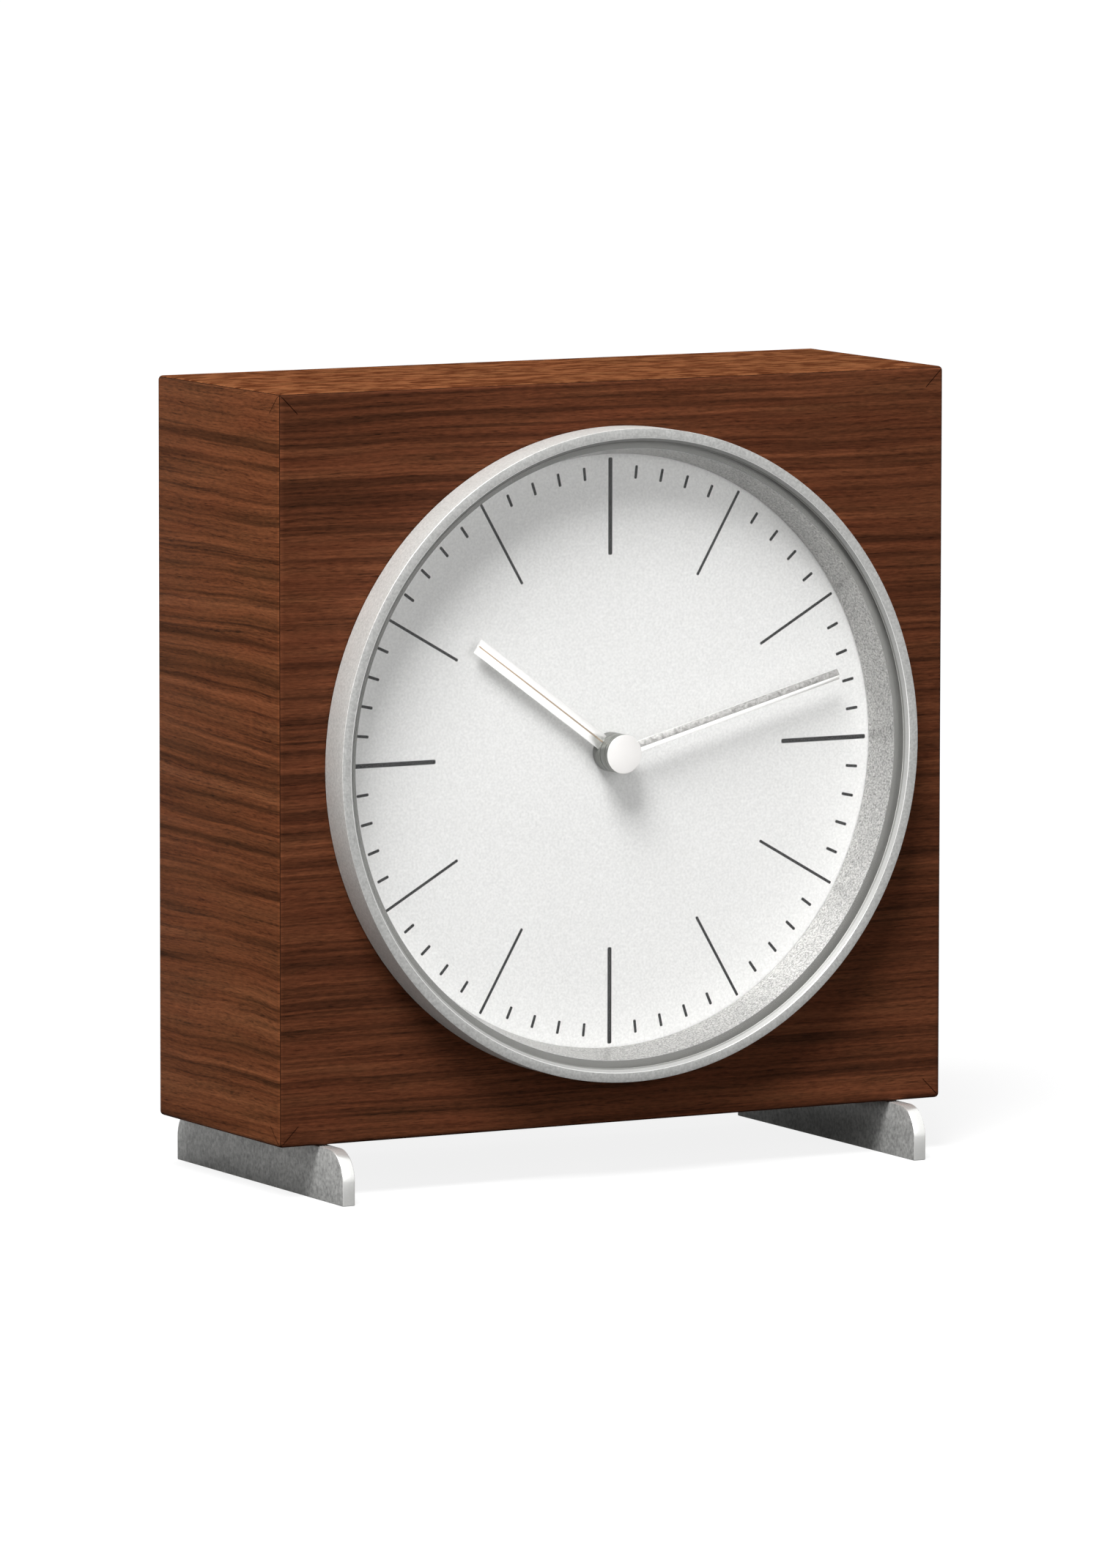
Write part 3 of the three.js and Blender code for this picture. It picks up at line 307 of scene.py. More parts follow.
def veneer(name, values, specular, turn=(0, 0, 0), shift=(0, 0, 0)):
    return finish(name, veneerGroup, values, {"Specular IOR Level": specular}, (0.25, 0.00003), turn, shift)


# Painted light: the side and top panels take lighter tones of the same walnut than the front, as more light falls on
# them; the top's flecks, waves and lower contrast are its figure
sideTonesPaintedLight = {"Dark": (0.032, 0.0120, 0.0052, 1), "Middle": (0.130, 0.0430, 0.0174, 1),
             "Light": (0.205, 0.071, 0.029, 1), "Waves": 0.009}
topTonesPaintedLight = {"Dark": (0.072, 0.021, 0.0080, 1), "Middle": (0.131, 0.042, 0.0165, 1),
            "Light": (0.205, 0.077, 0.031, 1), "Waves": 0.012, "Contrast": 0.6, "Flecks": 0.75}
wood = {
    "front": veneer("veneerFront", {}, 0.03),
    "left": veneer("veneerLeft", {**sideTonesPaintedLight, "Bands": 310.0}, 0.01, (0, 0, quarter), (0.37, 0, 0.87)),
    "right": veneer("veneerRight", {**sideTonesPaintedLight, "Bands": 320.0}, 0.01, (0, 0, quarter), (0.11, 0, 0.52)),
    "top": veneer("veneerTop", {**topTonesPaintedLight, "Bands": 200.0}, 0.0, (quarter, 0, 0), (0.23, 0.4, 0)),
    "bottom": veneer("veneerBottom", {"Bands": 260.0}, 0.03, (quarter, 0, 0), (0.6, 0.1, 0)),
}


def satin(name, base, gloss, metallic=1.0, blotches=0.06, grain=0.06, blotchScale=140.0, grainScale=3200.0,
          bump=(0.15, 0.00001), specular=0.5):
    return finish(name, satinGroup, {
        "Base": (*base, 1), "Gloss": gloss, "Blotches": blotches, "Grain": grain, "Blotch Scale": blotchScale,
        "Grain Scale": grainScale}, {"Metallic": metallic, "Specular IOR Level": specular}, bump)


def skin(name, base, second, gloss, bump=(0.2, 0.00002), patch=90.0, fine=2600.0, specular=0.4):
    return finish(name, skinGroup, {
        "Base": (*base, 1), "Second": (*second, 1), "Gloss": gloss, "Patch Scale": patch, "Skin Scale": fine},
        {"Specular IOR Level": specular}, bump)


metal = {
    "band": satin("satinBand", (0.58, 0.575, 0.555), 0.45, 0.35, 0.05, 0.3, 140.0, 1900.0),
    "face": satin("satinFace", (0.40, 0.40, 0.39), 0.42, 0.4, 0.06, 0.4, 140.0, 1900.0),
    "bright": satin("polishedEdge", (0.86, 0.86, 0.85), 0.12, 1.0, 0.02, 0.02),
    "bevel": satin("satinBevel", (0.34, 0.34, 0.33), 0.55, 0.12, 0.05, 0.1, specular=0.3),
    "seat": satin("seatRing", (0.19, 0.19, 0.18), 0.5, 0.3),
    "reflector": satin("reflectorSilver", (0.40, 0.397, 0.386), 0.38, 0.75, 0.02, 1.2, grainScale=2600.0,
                       bump=(0.3, 0.00002), specular=0.3),
    "dial": satin("dialSilver", (0.755, 0.755, 0.745), 0.55, 0.12, 0.02, 0.2, 60.0, 2000.0, (0.3, 0.00002)),
    # Painted shade: a darker grey copy of the hands' aluminium, with a coarser grain, for the minute hand's left
    # facet
    "paintedShadeFacet": satin("facetPaintedShade", (0.30, 0.296, 0.286), 0.6, 0.6, 0.1, 0.9, 200.0, 1500.0),
    "hand": satin("handFacet", (0.93, 0.925, 0.91), 0.3, 0.85, 0.03, 0.04),
    "handLine": satin("handLine", (0.40, 0.31, 0.23), 0.4, 0.2, 0.03, 0.04),
    "hub": satin("turnedHub", (0.20, 0.205, 0.19), 0.3, 0.8, 0.1, 0.1),
    "cap": satin("hubCapSilver", (0.72, 0.705, 0.69), 0.35, 0.3, 0.02, 0.03),
    "foot": satin("footSatin", (0.38, 0.38, 0.37), 0.36, 0.3, 0.2, 0.7, 240.0, 1300.0, specular=0.2),
    "footEdge": satin("footEdge", (0.86, 0.86, 0.84), 0.25, 0.7, 0.04, 0.04),
    "steel": satin("zincPlate", (0.50, 0.51, 0.52), 0.35, 1.0, 0.15, 0.08, 400.0),
    "brass": satin("turnedBrass", (0.62, 0.42, 0.16), 0.3, 1.0),
    "magnet": satin("groundMagnet", (0.13, 0.13, 0.14), 0.45, 0.8),
    "copper": satin("enamelledCopper", (0.48, 0.19, 0.07), 0.35, 0.9),
}
print("wood and metals ready")

matter = {
    "board": skin("stainedBoard", (0.018, 0.014, 0.012), (0.034, 0.026, 0.021), 0.62, (0.5, 0.00005), 700.0, 3000.0),
    "rawWood": skin("rawSoftwood", (0.42, 0.26, 0.12), (0.52, 0.34, 0.17), 0.7, (0.3, 0.00004), 220.0, 2200.0),
    "glue": skin("glueLine", (0.016, 0.007, 0.004), (0.022, 0.010, 0.006), 0.7, specular=0.0),
    "print": skin("printBlack", (0.006, 0.006, 0.006), (0.012, 0.012, 0.012), 0.6),
    "black": skin("blackPlastic", (0.012, 0.012, 0.013), (0.022, 0.022, 0.023), 0.42, (0.35, 0.00003)),
    "white": skin("whitePlastic", (0.74, 0.72, 0.66), (0.80, 0.78, 0.72), 0.4),
    "rubber": skin("blackRubber", (0.010, 0.010, 0.010), (0.018, 0.018, 0.018), 0.8),
    "ferrite": skin("ferriteRod", (0.030, 0.028, 0.026), (0.050, 0.047, 0.043), 0.6),
    "circuit": skin("solderResist", (0.015, 0.085, 0.035), (0.025, 0.12, 0.05), 0.3),
    "wrap": skin("batteryWrap", (0.045, 0.065, 0.085), (0.06, 0.08, 0.10), 0.28),
    "button": skin("buttonGrey", (0.22, 0.22, 0.22), (0.28, 0.28, 0.28), 0.4),
}


def makeGlass():
    material, tree = newMaterial("clearGlass")
    path = addNode(tree, "LightPath").outputs  # lamps and soft light pass straight through
    passing = larger(path["Is Shadow Ray"], path["Is Diffuse Ray"])
    plug(tree.nodes["Principled BSDF"], {
        "Base Color": (1, 1, 1, 1), "Roughness": 0.0, "IOR": 1.16, "Transmission Weight": 1.0,
        "Alpha": minus(1.0, passing)})
    return material


glassClear = makeGlass()
print("materials ready")


# Dress the CAD nodes that keep their own shape

nodeFinish = {
    "plain_wood": matter["rawWood"], "zinc_steel": metal["steel"], "brass": metal["brass"],
    "black_plastic": matter["black"], "white_plastic": matter["white"], "black_rubber": matter["rubber"],
    "magnet_grey": metal["magnet"], "copper_wire": metal["copper"], "ferrite": matter["ferrite"],
    "board_green": matter["circuit"], "battery_wrap": matter["wrap"], "button_grey": matter["button"],
    "veneer": wood["front"], "dark_board": matter["board"], "satin_aluminium": metal["foot"],
    "hand_aluminium": metal["hand"], "dial_silver": metal["dial"], "clear_glass": glassClear,
}
slots = {row["node"]: row["material_slot"] for row in frame["record"]["subparts"]}
for node, slot in slots.items():
    mesh = frame["nodes"][node].data
    mesh.materials.clear()
    mesh.materials.append(nodeFinish[slot])
print("CAD nodes dressed")


# Pieces

def sharpEdges(bm, degrees=60):
    limit = math.radians(degrees)
    return [e for e in bm.edges if len(e.link_faces) == 2 and e.calc_face_angle() > limit]


def paint(bm, index, wanted=lambda normal: True):
    for face in bm.faces:
        if wanted(face.normal):
            face.material_index = index


def meshFrom(name, bm):
    mesh = bpy.data.meshes.new(name)
    bm.to_mesh(mesh)
    bm.free()
    return mesh


# A piece gets the given materials, joins its body and hides the node that it replaces
def addPiece(name, bm, materials, node=None, body="clock_case", degrees=35):
    bm.normal_update()
    for face in bm.faces:
        face.smooth = True
    for edge in sharpEdges(bm, degrees):
        edge.smooth = False
    mesh = meshFrom(name, bm)
    for material in materials:
        mesh.materials.append(material)
    piece = addObject(name, mesh)
    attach(piece, body)
    if node:
        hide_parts(node)


def block(bm, first, second):
    middle = (Vector(first) + Vector(second)) / 2
    size = [abs(b - a) for a, b in zip(first, second)]
    return bmesh.ops.create_cube(bm, size=1, matrix=Matrix.Translation(middle) @ Matrix.Diagonal((*size, 1)))


def bevelEdges(bm, edges, offset, segments=2):
    return bmesh.ops.bevel(bm, geom=list(edges), offset=offset, offset_type="OFFSET", affect="EDGES",
                           segments=segments, profile=0.5, material=-1, clamp_overlap=True)


def vertsOf(parts):
    return [v for v in parts if isinstance(v, bmesh.types.BMVert)]


def everything(bm):
    return bm.verts[:] + bm.edges[:] + bm.faces[:]


def partsOf(faces):
    return list({part for f in faces for part in (f, *f.edges, *f.verts)})


def extrude(bm, parts, shift):
    made = bmesh.ops.extrude_face_region(bm, geom=parts)["geom"]
    bmesh.ops.translate(bm, verts=vertsOf(made), vec=shift)
    return made


# The box of a node that is turned about Y, and its radius
def turnedBox(node):
    low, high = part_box(node)
    return low, high, (high.x - low.x) / 2


# A closed profile of radius and Y, spun about a line along Y
def spinProfile(profile, centre, steps):
    bm = bmesh.new()
    points = [bm.verts.new((centre.x + radius, y, centre.z)) for radius, y in profile]
    edges = [bm.edges.new((points[i - 1], points[i])) for i in range(len(points))]
    bmesh.ops.spin(bm, geom=points + edges, cent=centre, axis=(0, 1, 0), angle=2 * math.pi, steps=steps,
                   use_merge=True)
    bmesh.ops.remove_doubles(bm, verts=bm.verts, dist=tiny)
    bmesh.ops.dissolve_degenerate(bm, edges=bm.edges, dist=tiny)
    bmesh.ops.delete(bm, geom=[e for e in bm.edges if not e.link_faces], context="EDGES")
    bmesh.ops.recalc_face_normals(bm, faces=bm.faces)
    return bm


# A flat ring about the dial's axis
def turnedRing(inner, outer, front, back, steps, edge=0, segments=2):
    bm = spinProfile([(inner, front), (outer, front), (outer, back), (inner, back)], dialCentre, steps)
    if edge:
        bevelEdges(bm, sharpEdges(bm), edge, segments)
    return bm


# Quads between two closed loops of vertices
def joinLoops(bm, first, second):
    for i in range(len(first)):
        bm.faces.new((first[i - 1], first[i], second[i], second[i - 1]))


# Joins each ring of points to the next, and the last to the first
def loftRings(bm, rings):
    loops = [[bm.verts.new(point) for point in ring] for ring in rings]
    for first, second in zip(loops, loops[1:] + loops[:1]):
        joinLoops(bm, first, second)
    bmesh.ops.recalc_face_normals(bm, faces=bm.faces)


def onCircle(centre, radius, angle, y):
    return Vector((centre.x + radius * math.cos(angle), y, centre.z + radius * math.sin(angle)))


def angleOf(point, centre):
    return math.atan2(point.z - centre.z, point.x - centre.x)


# A rounded rectangle about the dial's axis, as large as a box, each side cut into parts
def roundedRing(low, high, radius, y, steps=8, parts=1):
    reachX, reachZ = (high.x - low.x) / 2 - radius, (high.z - low.z) / 2 - radius
    arcs = []
    for index, (sideX, sideZ) in enumerate(((1, 1), (-1, 1), (-1, -1), (1, -1))):
        centre = dialCentre + Vector((sideX * reachX, 0, sideZ * reachZ))
        arcs.append([onCircle(centre, radius, quarter * (index + step / steps), y) for step in range(steps + 1)])
    points = []
    for arc, following in zip(arcs, arcs[1:] + arcs[:1]):
        points += arc + [arc[-1].lerp(following[0], part / parts) for part in range(1, parts)]
    return points


def joinInto(bm, other):
    mesh = meshFrom("part", other)
    bm.from_mesh(mesh)
    bpy.data.meshes.remove(mesh)


def move(bm, spot, angle=0, axis="Y"):
    place = Matrix.Translation(spot) @ Matrix.Rotation(angle, 4, axis)
    bmesh.ops.transform(bm, matrix=place, verts=bm.verts)


# Case: one hollow shell with eased edges, cut along its mitres into five panels

caseShape = {
    "edge": 1.0 * mm,
    "edgeSegments": 5,
    "support": 0.4 * mm,
    "wall": 9 * mm,
    "rebateWall": 5 * mm,
    "rebateDepth": 6 * mm,
    "holeRadius": 69.3 * mm,
    "holeSegments": 128,
    "glueGap": 0.08 * mm,
    "glueDepth": 4.5 * mm,
    "glueShare": 0.98,  # of the gap
}
casePanels = {
    # node, and the side that it looks to
    "front": ("front_panel", (0, -1, 0)),
    "left": ("left_side_panel", (-1, 0, 0)),
    "right": ("right_side_panel", (1, 0, 0)),
    "top": ("top_panel", (0, 0, 1)),
    "bottom": ("bottom_panel", (0, 0, -1)),
}


def largestFace(bm, normal):
    return max((f for f in bm.faces if f.normal.dot(Vector(normal)) > facing), key=lambda f: f.calc_area())


def sinkFace(bm, face, inset, depth):
    if inset:
        bmesh.ops.inset_region(bm, faces=[face], thickness=inset, use_even_offset=True, use_boundary=True)
    if depth:
        made = extrude(bm, [face, *face.edges, *face.verts], (0, depth, 0))
        return next(f for f in made if isinstance(f, bmesh.types.BMFace))
    return face


# Opens a round hole in a face, one rim point to each point of the border
def openRound(bm, face, radius, segments, spot=dialCentre):
    y = face.calc_center_median().y
    border, corners = list(face.edges), [v.co.copy() for v in face.verts]
    bmesh.ops.delete(bm, geom=[face], context="FACES_ONLY")
    cut = bmesh.ops.subdivide_edges(bm, edges=border, cuts=segments // 4 - 1)["geom_inner"]
    around = set(vertsOf(cut)) | {v for v in bm.verts if any((v.co - corner).length < tiny for corner in corners)}
    around = sorted(around, key=lambda v: angleOf(v.co, spot))
    first = max(range(len(around)), key=lambda i: around[i].co.x + around[i].co.z)
    angles = [quarter * (0.5 + 4 * i / segments) for i in range(segments)]
    joinLoops(bm, around[first:] + around[:first],
              [bm.verts.new(onCircle(spot, radius, angle, y)) for angle in angles])


# Walls a round hole between its rims at two depths
def wallRound(bm, radius, depths, spot=dialCentre):
    rims = []
    for y in depths:
        rim = [v for v in bm.verts if abs(v.co.y - y) < tiny
               and abs(math.hypot(v.co.x - spot.x, v.co.z - spot.z) - radius) < tiny]
        rims.append(sorted(rim, key=lambda v: angleOf(v.co, spot)))
    joinLoops(bm, *rims)


def makeShell():
    lows, highs = zip(*(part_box(node) for node, _ in casePanels.values()))
    low, high = Vector(map(min, zip(*lows))), Vector(map(max, zip(*highs)))
    bm = bmesh.new()
    block(bm, low, high)
    bevelEdges(bm, bm.edges[:], caseShape["edge"], caseShape["edgeSegments"])
    bm.normal_update()
    back = largestFace(bm, (0, 1, 0))
    back = sinkFace(bm, back, caseShape["rebateWall"] - caseShape["edge"], -caseShape["rebateDepth"])
    depth = high.y - low.y - caseShape["rebateDepth"] - caseShape["wall"]
    back = sinkFace(bm, back, caseShape["wall"] - caseShape["rebateWall"], -depth)
    bm.normal_update()
    front = sinkFace(bm, largestFace(bm, (0, -1, 0)), caseShape["support"], 0)
    depths = []
    for face in (front, back):
        depths.append(face.calc_center_median().y)
        openRound(bm, face, caseShape["holeRadius"], caseShape["holeSegments"])
    wallRound(bm, caseShape["holeRadius"], depths)
    bmesh.ops.recalc_face_normals(bm, faces=bm.faces)
    return bm, low, high


# Keeps what lies behind every plane, and closes each cut
def cutPanel(shell, planes):
    bm = shell.copy()
    for point, normal in planes:
        cut = bmesh.ops.bisect_plane(bm, geom=everything(bm), dist=tiny / 2, plane_co=point, plane_no=normal,
                                     clear_outer=True)["geom_cut"]
        bmesh.ops.edgeloop_fill(bm, edges=[e for e in cut if isinstance(e, bmesh.types.BMEdge)])
    bmesh.ops.recalc_face_normals(bm, faces=bm.faces)
    return bm


# Each panel meets those that stand square to it, with a thin slab of glue in the mitre
def makeCase():
    shell, low, high = makeShell()
    gap = caseShape["glueGap"]
    outward = {name: Vector(direction) for name, (_, direction) in casePanels.items()}
    corner = {name: Vector([(low, high)[d > 0][i] if d else 0 for i, d in enumerate(direction)])
              for name, direction in outward.items()}
    glue = bmesh.new()
    glued = []
    for name, direction in outward.items():
        planes = []
        for other in outward:
            if outward[other].dot(direction):
                continue
            normal = (outward[other] - direction).normalized()
            edge = corner[other] + corner[name]
            planes.append((edge - normal * gap, normal))
            if other not in glued:
                half = normal * gap * caseShape["glueShare"]
                inner = corner[name] - direction * caseShape["glueDepth"]
                slab = [(edge + half, normal), (edge - half, -normal), (inner, -direction)]
                joinInto(glue, cutPanel(shell, slab))
        glued.append(name)
        addPiece("veneered_" + name, cutPanel(shell, planes), [wood[name]], casePanels[name][0])
    addPiece("glue_lines", glue, [matter["glue"]])
    shell.free()


makeCase()
print("case made")


# Bezel: turned ring with a satin band and face and a polished inner bevel

bezelShape = {
    "flat": 2.1 * mm,
    "bevelWidth": 0.9 * mm,
    "bevelDepth": 1.0 * mm,
    "bevelShares": ((0.1, 0.1), (0.72, 0.72)),  # of its width and depth, where its facets meet
    "lipDepth": 1.2 * mm,
    "wall": 1.6 * mm,
    "flange": 2.0 * mm,
    "gap": 0.2 * mm,
    "spigotRadius": 69.1 * mm,
    "spigotWall": 1.2 * mm,
    "spigotBack": 9 * mm,
    "edge": 0.22 * mm,
    "lean": 0.3,  # least share of a bevel's normal towards the axis
    "steps": 200,
}


def makeBezel():
    s = bezelShape
    low, _, outer = turnedBox("bezel")
    front = low.y
    recess = outer - s["wall"]
    opening = outer - s["flat"] - s["bevelWidth"]
    bore = s["spigotRadius"] - s["spigotWall"]
    facets = [(opening + s["bevelWidth"] * (1 - across), front + s["bevelDepth"] * deep)
              for across, deep in s["bevelShares"]]
    bm = spinProfile([
        (outer - s["flat"], front), (outer, front), (outer, faceLow.y - s["gap"]),
        (s["spigotRadius"], faceLow.y - s["gap"]), (s["spigotRadius"], faceLow.y + s["spigotBack"]),
        (bore, faceLow.y + s["spigotBack"]), (bore, faceLow.y - s["flange"]), (recess, faceLow.y - s["flange"]),
        (recess, front + s["lipDepth"]), (opening, front + s["lipDepth"]),
        (opening, front + s["bevelDepth"]), *reversed(facets),
    ], dialCentre, s["steps"])
    rim = [e for e in sharpEdges(bm, 30) if max(v.co.y for v in e.verts) < front + near]
    bevelEdges(bm, rim, s["edge"], segments=3)
    bm.normal_update()
    polished, plain = (across for across, _ in s["bevelShares"])
    for face in bm.faces:
        spot = face.calc_center_median() - dialCentre
        radius = math.hypot(spot.x, spot.z)
        outwards = (face.normal.x * spot.x + face.normal.z * spot.z) / radius
        if spot.y < front + s["bevelDepth"] and outwards < -s["lean"]:
            inwards = (opening + s["bevelWidth"] - radius) / s["bevelWidth"]
            face.material_index = 2 if inwards < polished else 4 if inwards < plain else 3
        elif face.normal.y < -facing:
            face.material_index = 1
    finishes = [metal[finish] for finish in ("band", "face", "bright", "seat", "bevel")]
    addPiece("bezel_ring", bm, finishes, "bezel", degrees=25)


makeBezel()


paneShape = {"edge": 0.15 * mm, "steps": 160}


def makePane():
    low, high, radius = turnedBox("glass")
    bm = turnedRing(0, radius, low.y, high.y, paneShape["steps"], paneShape["edge"], segments=1)
    addPiece("glass_pane", bm, [glassClear], "glass")


makePane()


reflectorShape = {"mouth": 67.0 * mm, "end": 65.2 * mm, "wall": 0.8 * mm, "steps": 160}


def makeReflector():
    low, high, outer = turnedBox("reflector_ring")
    s = reflectorShape
    bm = spinProfile([
        (s["mouth"], low.y), (outer, low.y), (outer, low.y + s["wall"]), (s["mouth"] + s["wall"], low.y + s["wall"]),
        (s["end"] + s["wall"], high.y), (s["end"], high.y),
    ], dialCentre, s["steps"])
    paint(bm, 1, lambda normal: normal.y < -facing)
    addPiece("reflector_cone", bm, [metal["reflector"], metal["seat"]], "reflector_ring")


makeReflector()
print("bezel, glass and reflector made")


# Dial with its printed marks

dialShape = {"hole": 4.2 * mm, "steps": 160}
markShape = {
    "sizes": {
        # every so many minutes: inner radius, outer radius, width
        15: (43.1 * mm, 64.36 * mm, 0.98 * mm),
        5: (43.5 * mm, 64.36 * mm, 0.62 * mm),
        1: (59.81 * mm, 62.72 * mm, 0.64 * mm),
    },
    "inkHeight": 0.02 * mm,
    "rounding": 0.3,  # of a mark's width
}


def makeDial():
    low, high, radius = turnedBox("dial")
    bm = turnedRing(dialShape["hole"], radius, low.y, high.y, dialShape["steps"])
    addPiece("dial_plate", bm, [metal["dial"]], "dial")
    marks = bmesh.new()
    ink = markShape["inkHeight"]
    for minute in range(60):
        inner, outer, width = next(size for every, size in markShape["sizes"].items() if minute % every == 0)
        turn = Matrix.Rotation(2 * math.pi * minute / 60, 4, "Y")
        place = Matrix.Translation((dialCentre.x, low.y, dialCentre.z)) @ turn
        made = block(marks, (-width / 2, -ink, inner), (width / 2, ink, outer))["verts"]
        upright = {e for v in made for e in v.link_edges
                   if abs(e.verts[0].co.y - e.verts[1].co.y) > ink}
        rounded = bevelEdges(marks, upright, width * markShape["rounding"])["verts"]
        bmesh.ops.transform(marks, matrix=place, verts=list(set(rounded)))
    addPiece("dial_marks", marks, [matter["print"]])


makeDial()


# Hands: a roof-shaped blade on a turned hub

handShape = {
    "hubRadius": 4.3 * mm,
    "hubEdge": 0.06 * mm,
    "hubSteps": 64,
    "edge": 0.35 * mm,
    "ridge": 0.6 * mm,
    "setback": 0.1 * mm,
    "lineWidth": 0.2 * mm,
    "bladeEdge": 0.05 * mm,
    "lean": 0.2,  # least share of a facet's normal to the left
}
hands = {
    # node, body, length, width, bore, degrees from 12, and the finish of the left facet
    "hour_pointer": ("hour_hand", "hour_train", 42.2 * mm, 3.4 * mm, 2.4 * mm, 306.25, "hand"),
    # the minute hand's left facet is painted shade, in the darker grey
    "minute_pointer": ("minute_hand", "minute_train", 56.8 * mm, 2.45 * mm, 1.1 * mm, 75, "paintedShadeFacet"),
}
handFinishes = ["hand", "hub", "handLine", "paintedShadeFacet"]


def makeBlade(front, length, width, leftFinish):
    s = handShape
    side, back, start = front + s["ridge"], front + s["ridge"] + s["edge"], s["hubRadius"] / 2
    corners = [(-width / 2, back), (width / 2, back), (width / 2, side), (0, front), (-width / 2, side)]
    blade = bmesh.new()
    section = blade.faces.new([blade.verts.new((x, y, start)) for x, y in corners])
    extrude(blade, [section], (0, 0, length - start))
    bmesh.ops.recalc_face_normals(blade, faces=blade.faces)
    ridge = [e for e in blade.edges if all(abs(v.co.x) < near for v in e.verts)]
    line = bevelEdges(blade, ridge, s["lineWidth"], segments=1)["faces"]
    blade.normal_update()
    paint(blade, handFinishes.index(leftFinish), lambda normal: max(normal.x, normal.y) < -s["lean"])
    for face in line:
        if face.is_valid and face.normal.y < -facing:
            face.material_index = handFinishes.index("handLine" if leftFinish == "hand" else leftFinish)
    bevelEdges(blade, sharpEdges(blade, 50), s["bladeEdge"])
    return blade


def makeHand(name, node, body, length, width, bore, degrees, leftFinish):
    low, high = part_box(node)
    s = handShape
    bm = turnedRing(bore, s["hubRadius"], low.y, high.y, s["hubSteps"], s["hubEdge"])
    paint(bm, handFinishes.index("hub"))
    blade = makeBlade(low.y + s["setback"], length, width, leftFinish)
    move(blade, dialCentre, math.radians(degrees))
    joinInto(bm, blade)
    addPiece(name, bm, [metal[finish] for finish in handFinishes], node, body)


for name, given in hands.items():
    makeHand(name, *given)


capShape = {"edge": 0.12 * mm, "steps": 72, "frontShare": 0.5}


def makeHubCap():
    low, high, radius = turnedBox("hub_cap")
    bm = turnedRing(0, radius, low.y, high.y, capShape["steps"], capShape["edge"], segments=3)
    paint(bm, 1, lambda normal: normal.y >= -capShape["frontShare"])
    addPiece("hub_cap_disc", bm, [metal["cap"], metal["hub"]], "hub_cap", "minute_train")


makeHubCap()
print("dial and hands made")


# Feet: plates on edge with rounded upper corners, and a flange under the case

footShape = {
    "thickness": 3 * mm,
    "corner": 6.6 * mm,
    "cornerSegments": 12,
    "edge": 0.25 * mm,
    "flange": 1.2 * mm,
    "flangeLength": 28 * mm,
    "flangeEdge": 0.2 * mm,
}


def makeFoot(name, node, side):
    low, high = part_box(node)
    s = footShape
    far, outer = (low.x, high.x) if side > 0 else (high.x, low.x)
    inner = outer - side * s["thickness"]
    bm = bmesh.new()
    block(bm, (outer, low.y, low.z), (inner, high.y, high.z))
    corners = [e for e in bm.edges if all(v.co.z > high.z - near for v in e.verts)
               and abs(e.verts[0].co.x - e.verts[1].co.x) > s["thickness"] / 2]
    bevelEdges(bm, corners, s["corner"], s["cornerSegments"])
    bevelEdges(bm, sharpEdges(bm), s["edge"], segments=3)
    bm.normal_update()
    paint(bm, 1, lambda normal: abs(normal.x) <= facing)
    flange = bmesh.new()
    half = s["flangeLength"] / 2
    block(flange, (far, -half, high.z - s["flange"]), (inner, half, high.z))
    bevelEdges(flange, flange.edges[:], s["flangeEdge"])
    joinInto(bm, flange)
    addPiece(name, bm, [metal["foot"], metal["footEdge"]], node)


makeFoot("left_foot_plate", "left_foot", -1)
makeFoot("right_foot_plate", "right_foot", 1)
print("feet made")


# Back of the case: board with a rounded opening

rearShape = {"opening": Vector((96, 0, 100)) * mm, "radius": 12 * mm, "corner": 0.8 * mm, "edge": 0.6 * mm}


def makeRearPanel():
    low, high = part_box("rear_panel")
    s = rearShape
    bm = bmesh.new()
    outer = [roundedRing(low, high, s["corner"], y) for y in (low.y, high.y)]
    inner = [roundedRing(Vector(), s["opening"], s["radius"], y) for y in (high.y, low.y)]
    loftRings(bm, outer + inner)
    bevelEdges(bm, sharpEdges(bm), s["edge"], segments=3)
    addPiece("rear_board", bm, [matter["board"]], "rear_panel")


makeRearPanel()


# Pan-head screws with a cross recess

screwShape = {
    "head": [(0, 0), (0.5, -0.04), (0.78, -0.16), (0.93, -0.36), (1.0, -0.62), (1.0, -1.0)],  # of radius and height
    "headHeight": {"foot": 0.9 * mm, "rear_panel": 1.5 * mm, "tray": 1.5 * mm},
    "crown": 0.6,  # share of the head's height that the recess may cut
    "crownTilt": 0.3,  # least share of a crown face's normal along the screw
    "shank": 1.4 * mm,
    "point": 0.5 * mm,
    "thread": 0.18 * mm,
    "pitch": 0.9 * mm,
    "flanks": (0.35, 0.9),  # where a thread's root and crest lie in its pitch
    "recessWidth": 0.34 * mm,
    "recessLength": 1.35 * mm,
    "recessDepth": 0.55 * mm,
    "steps": 32,
}


def crownFaces(bm, headHeight):
    s = screwShape
    return [f for f in bm.faces
            if f.calc_center_median().y > -headHeight * s["crown"] and f.normal.y > s["crownTilt"]]


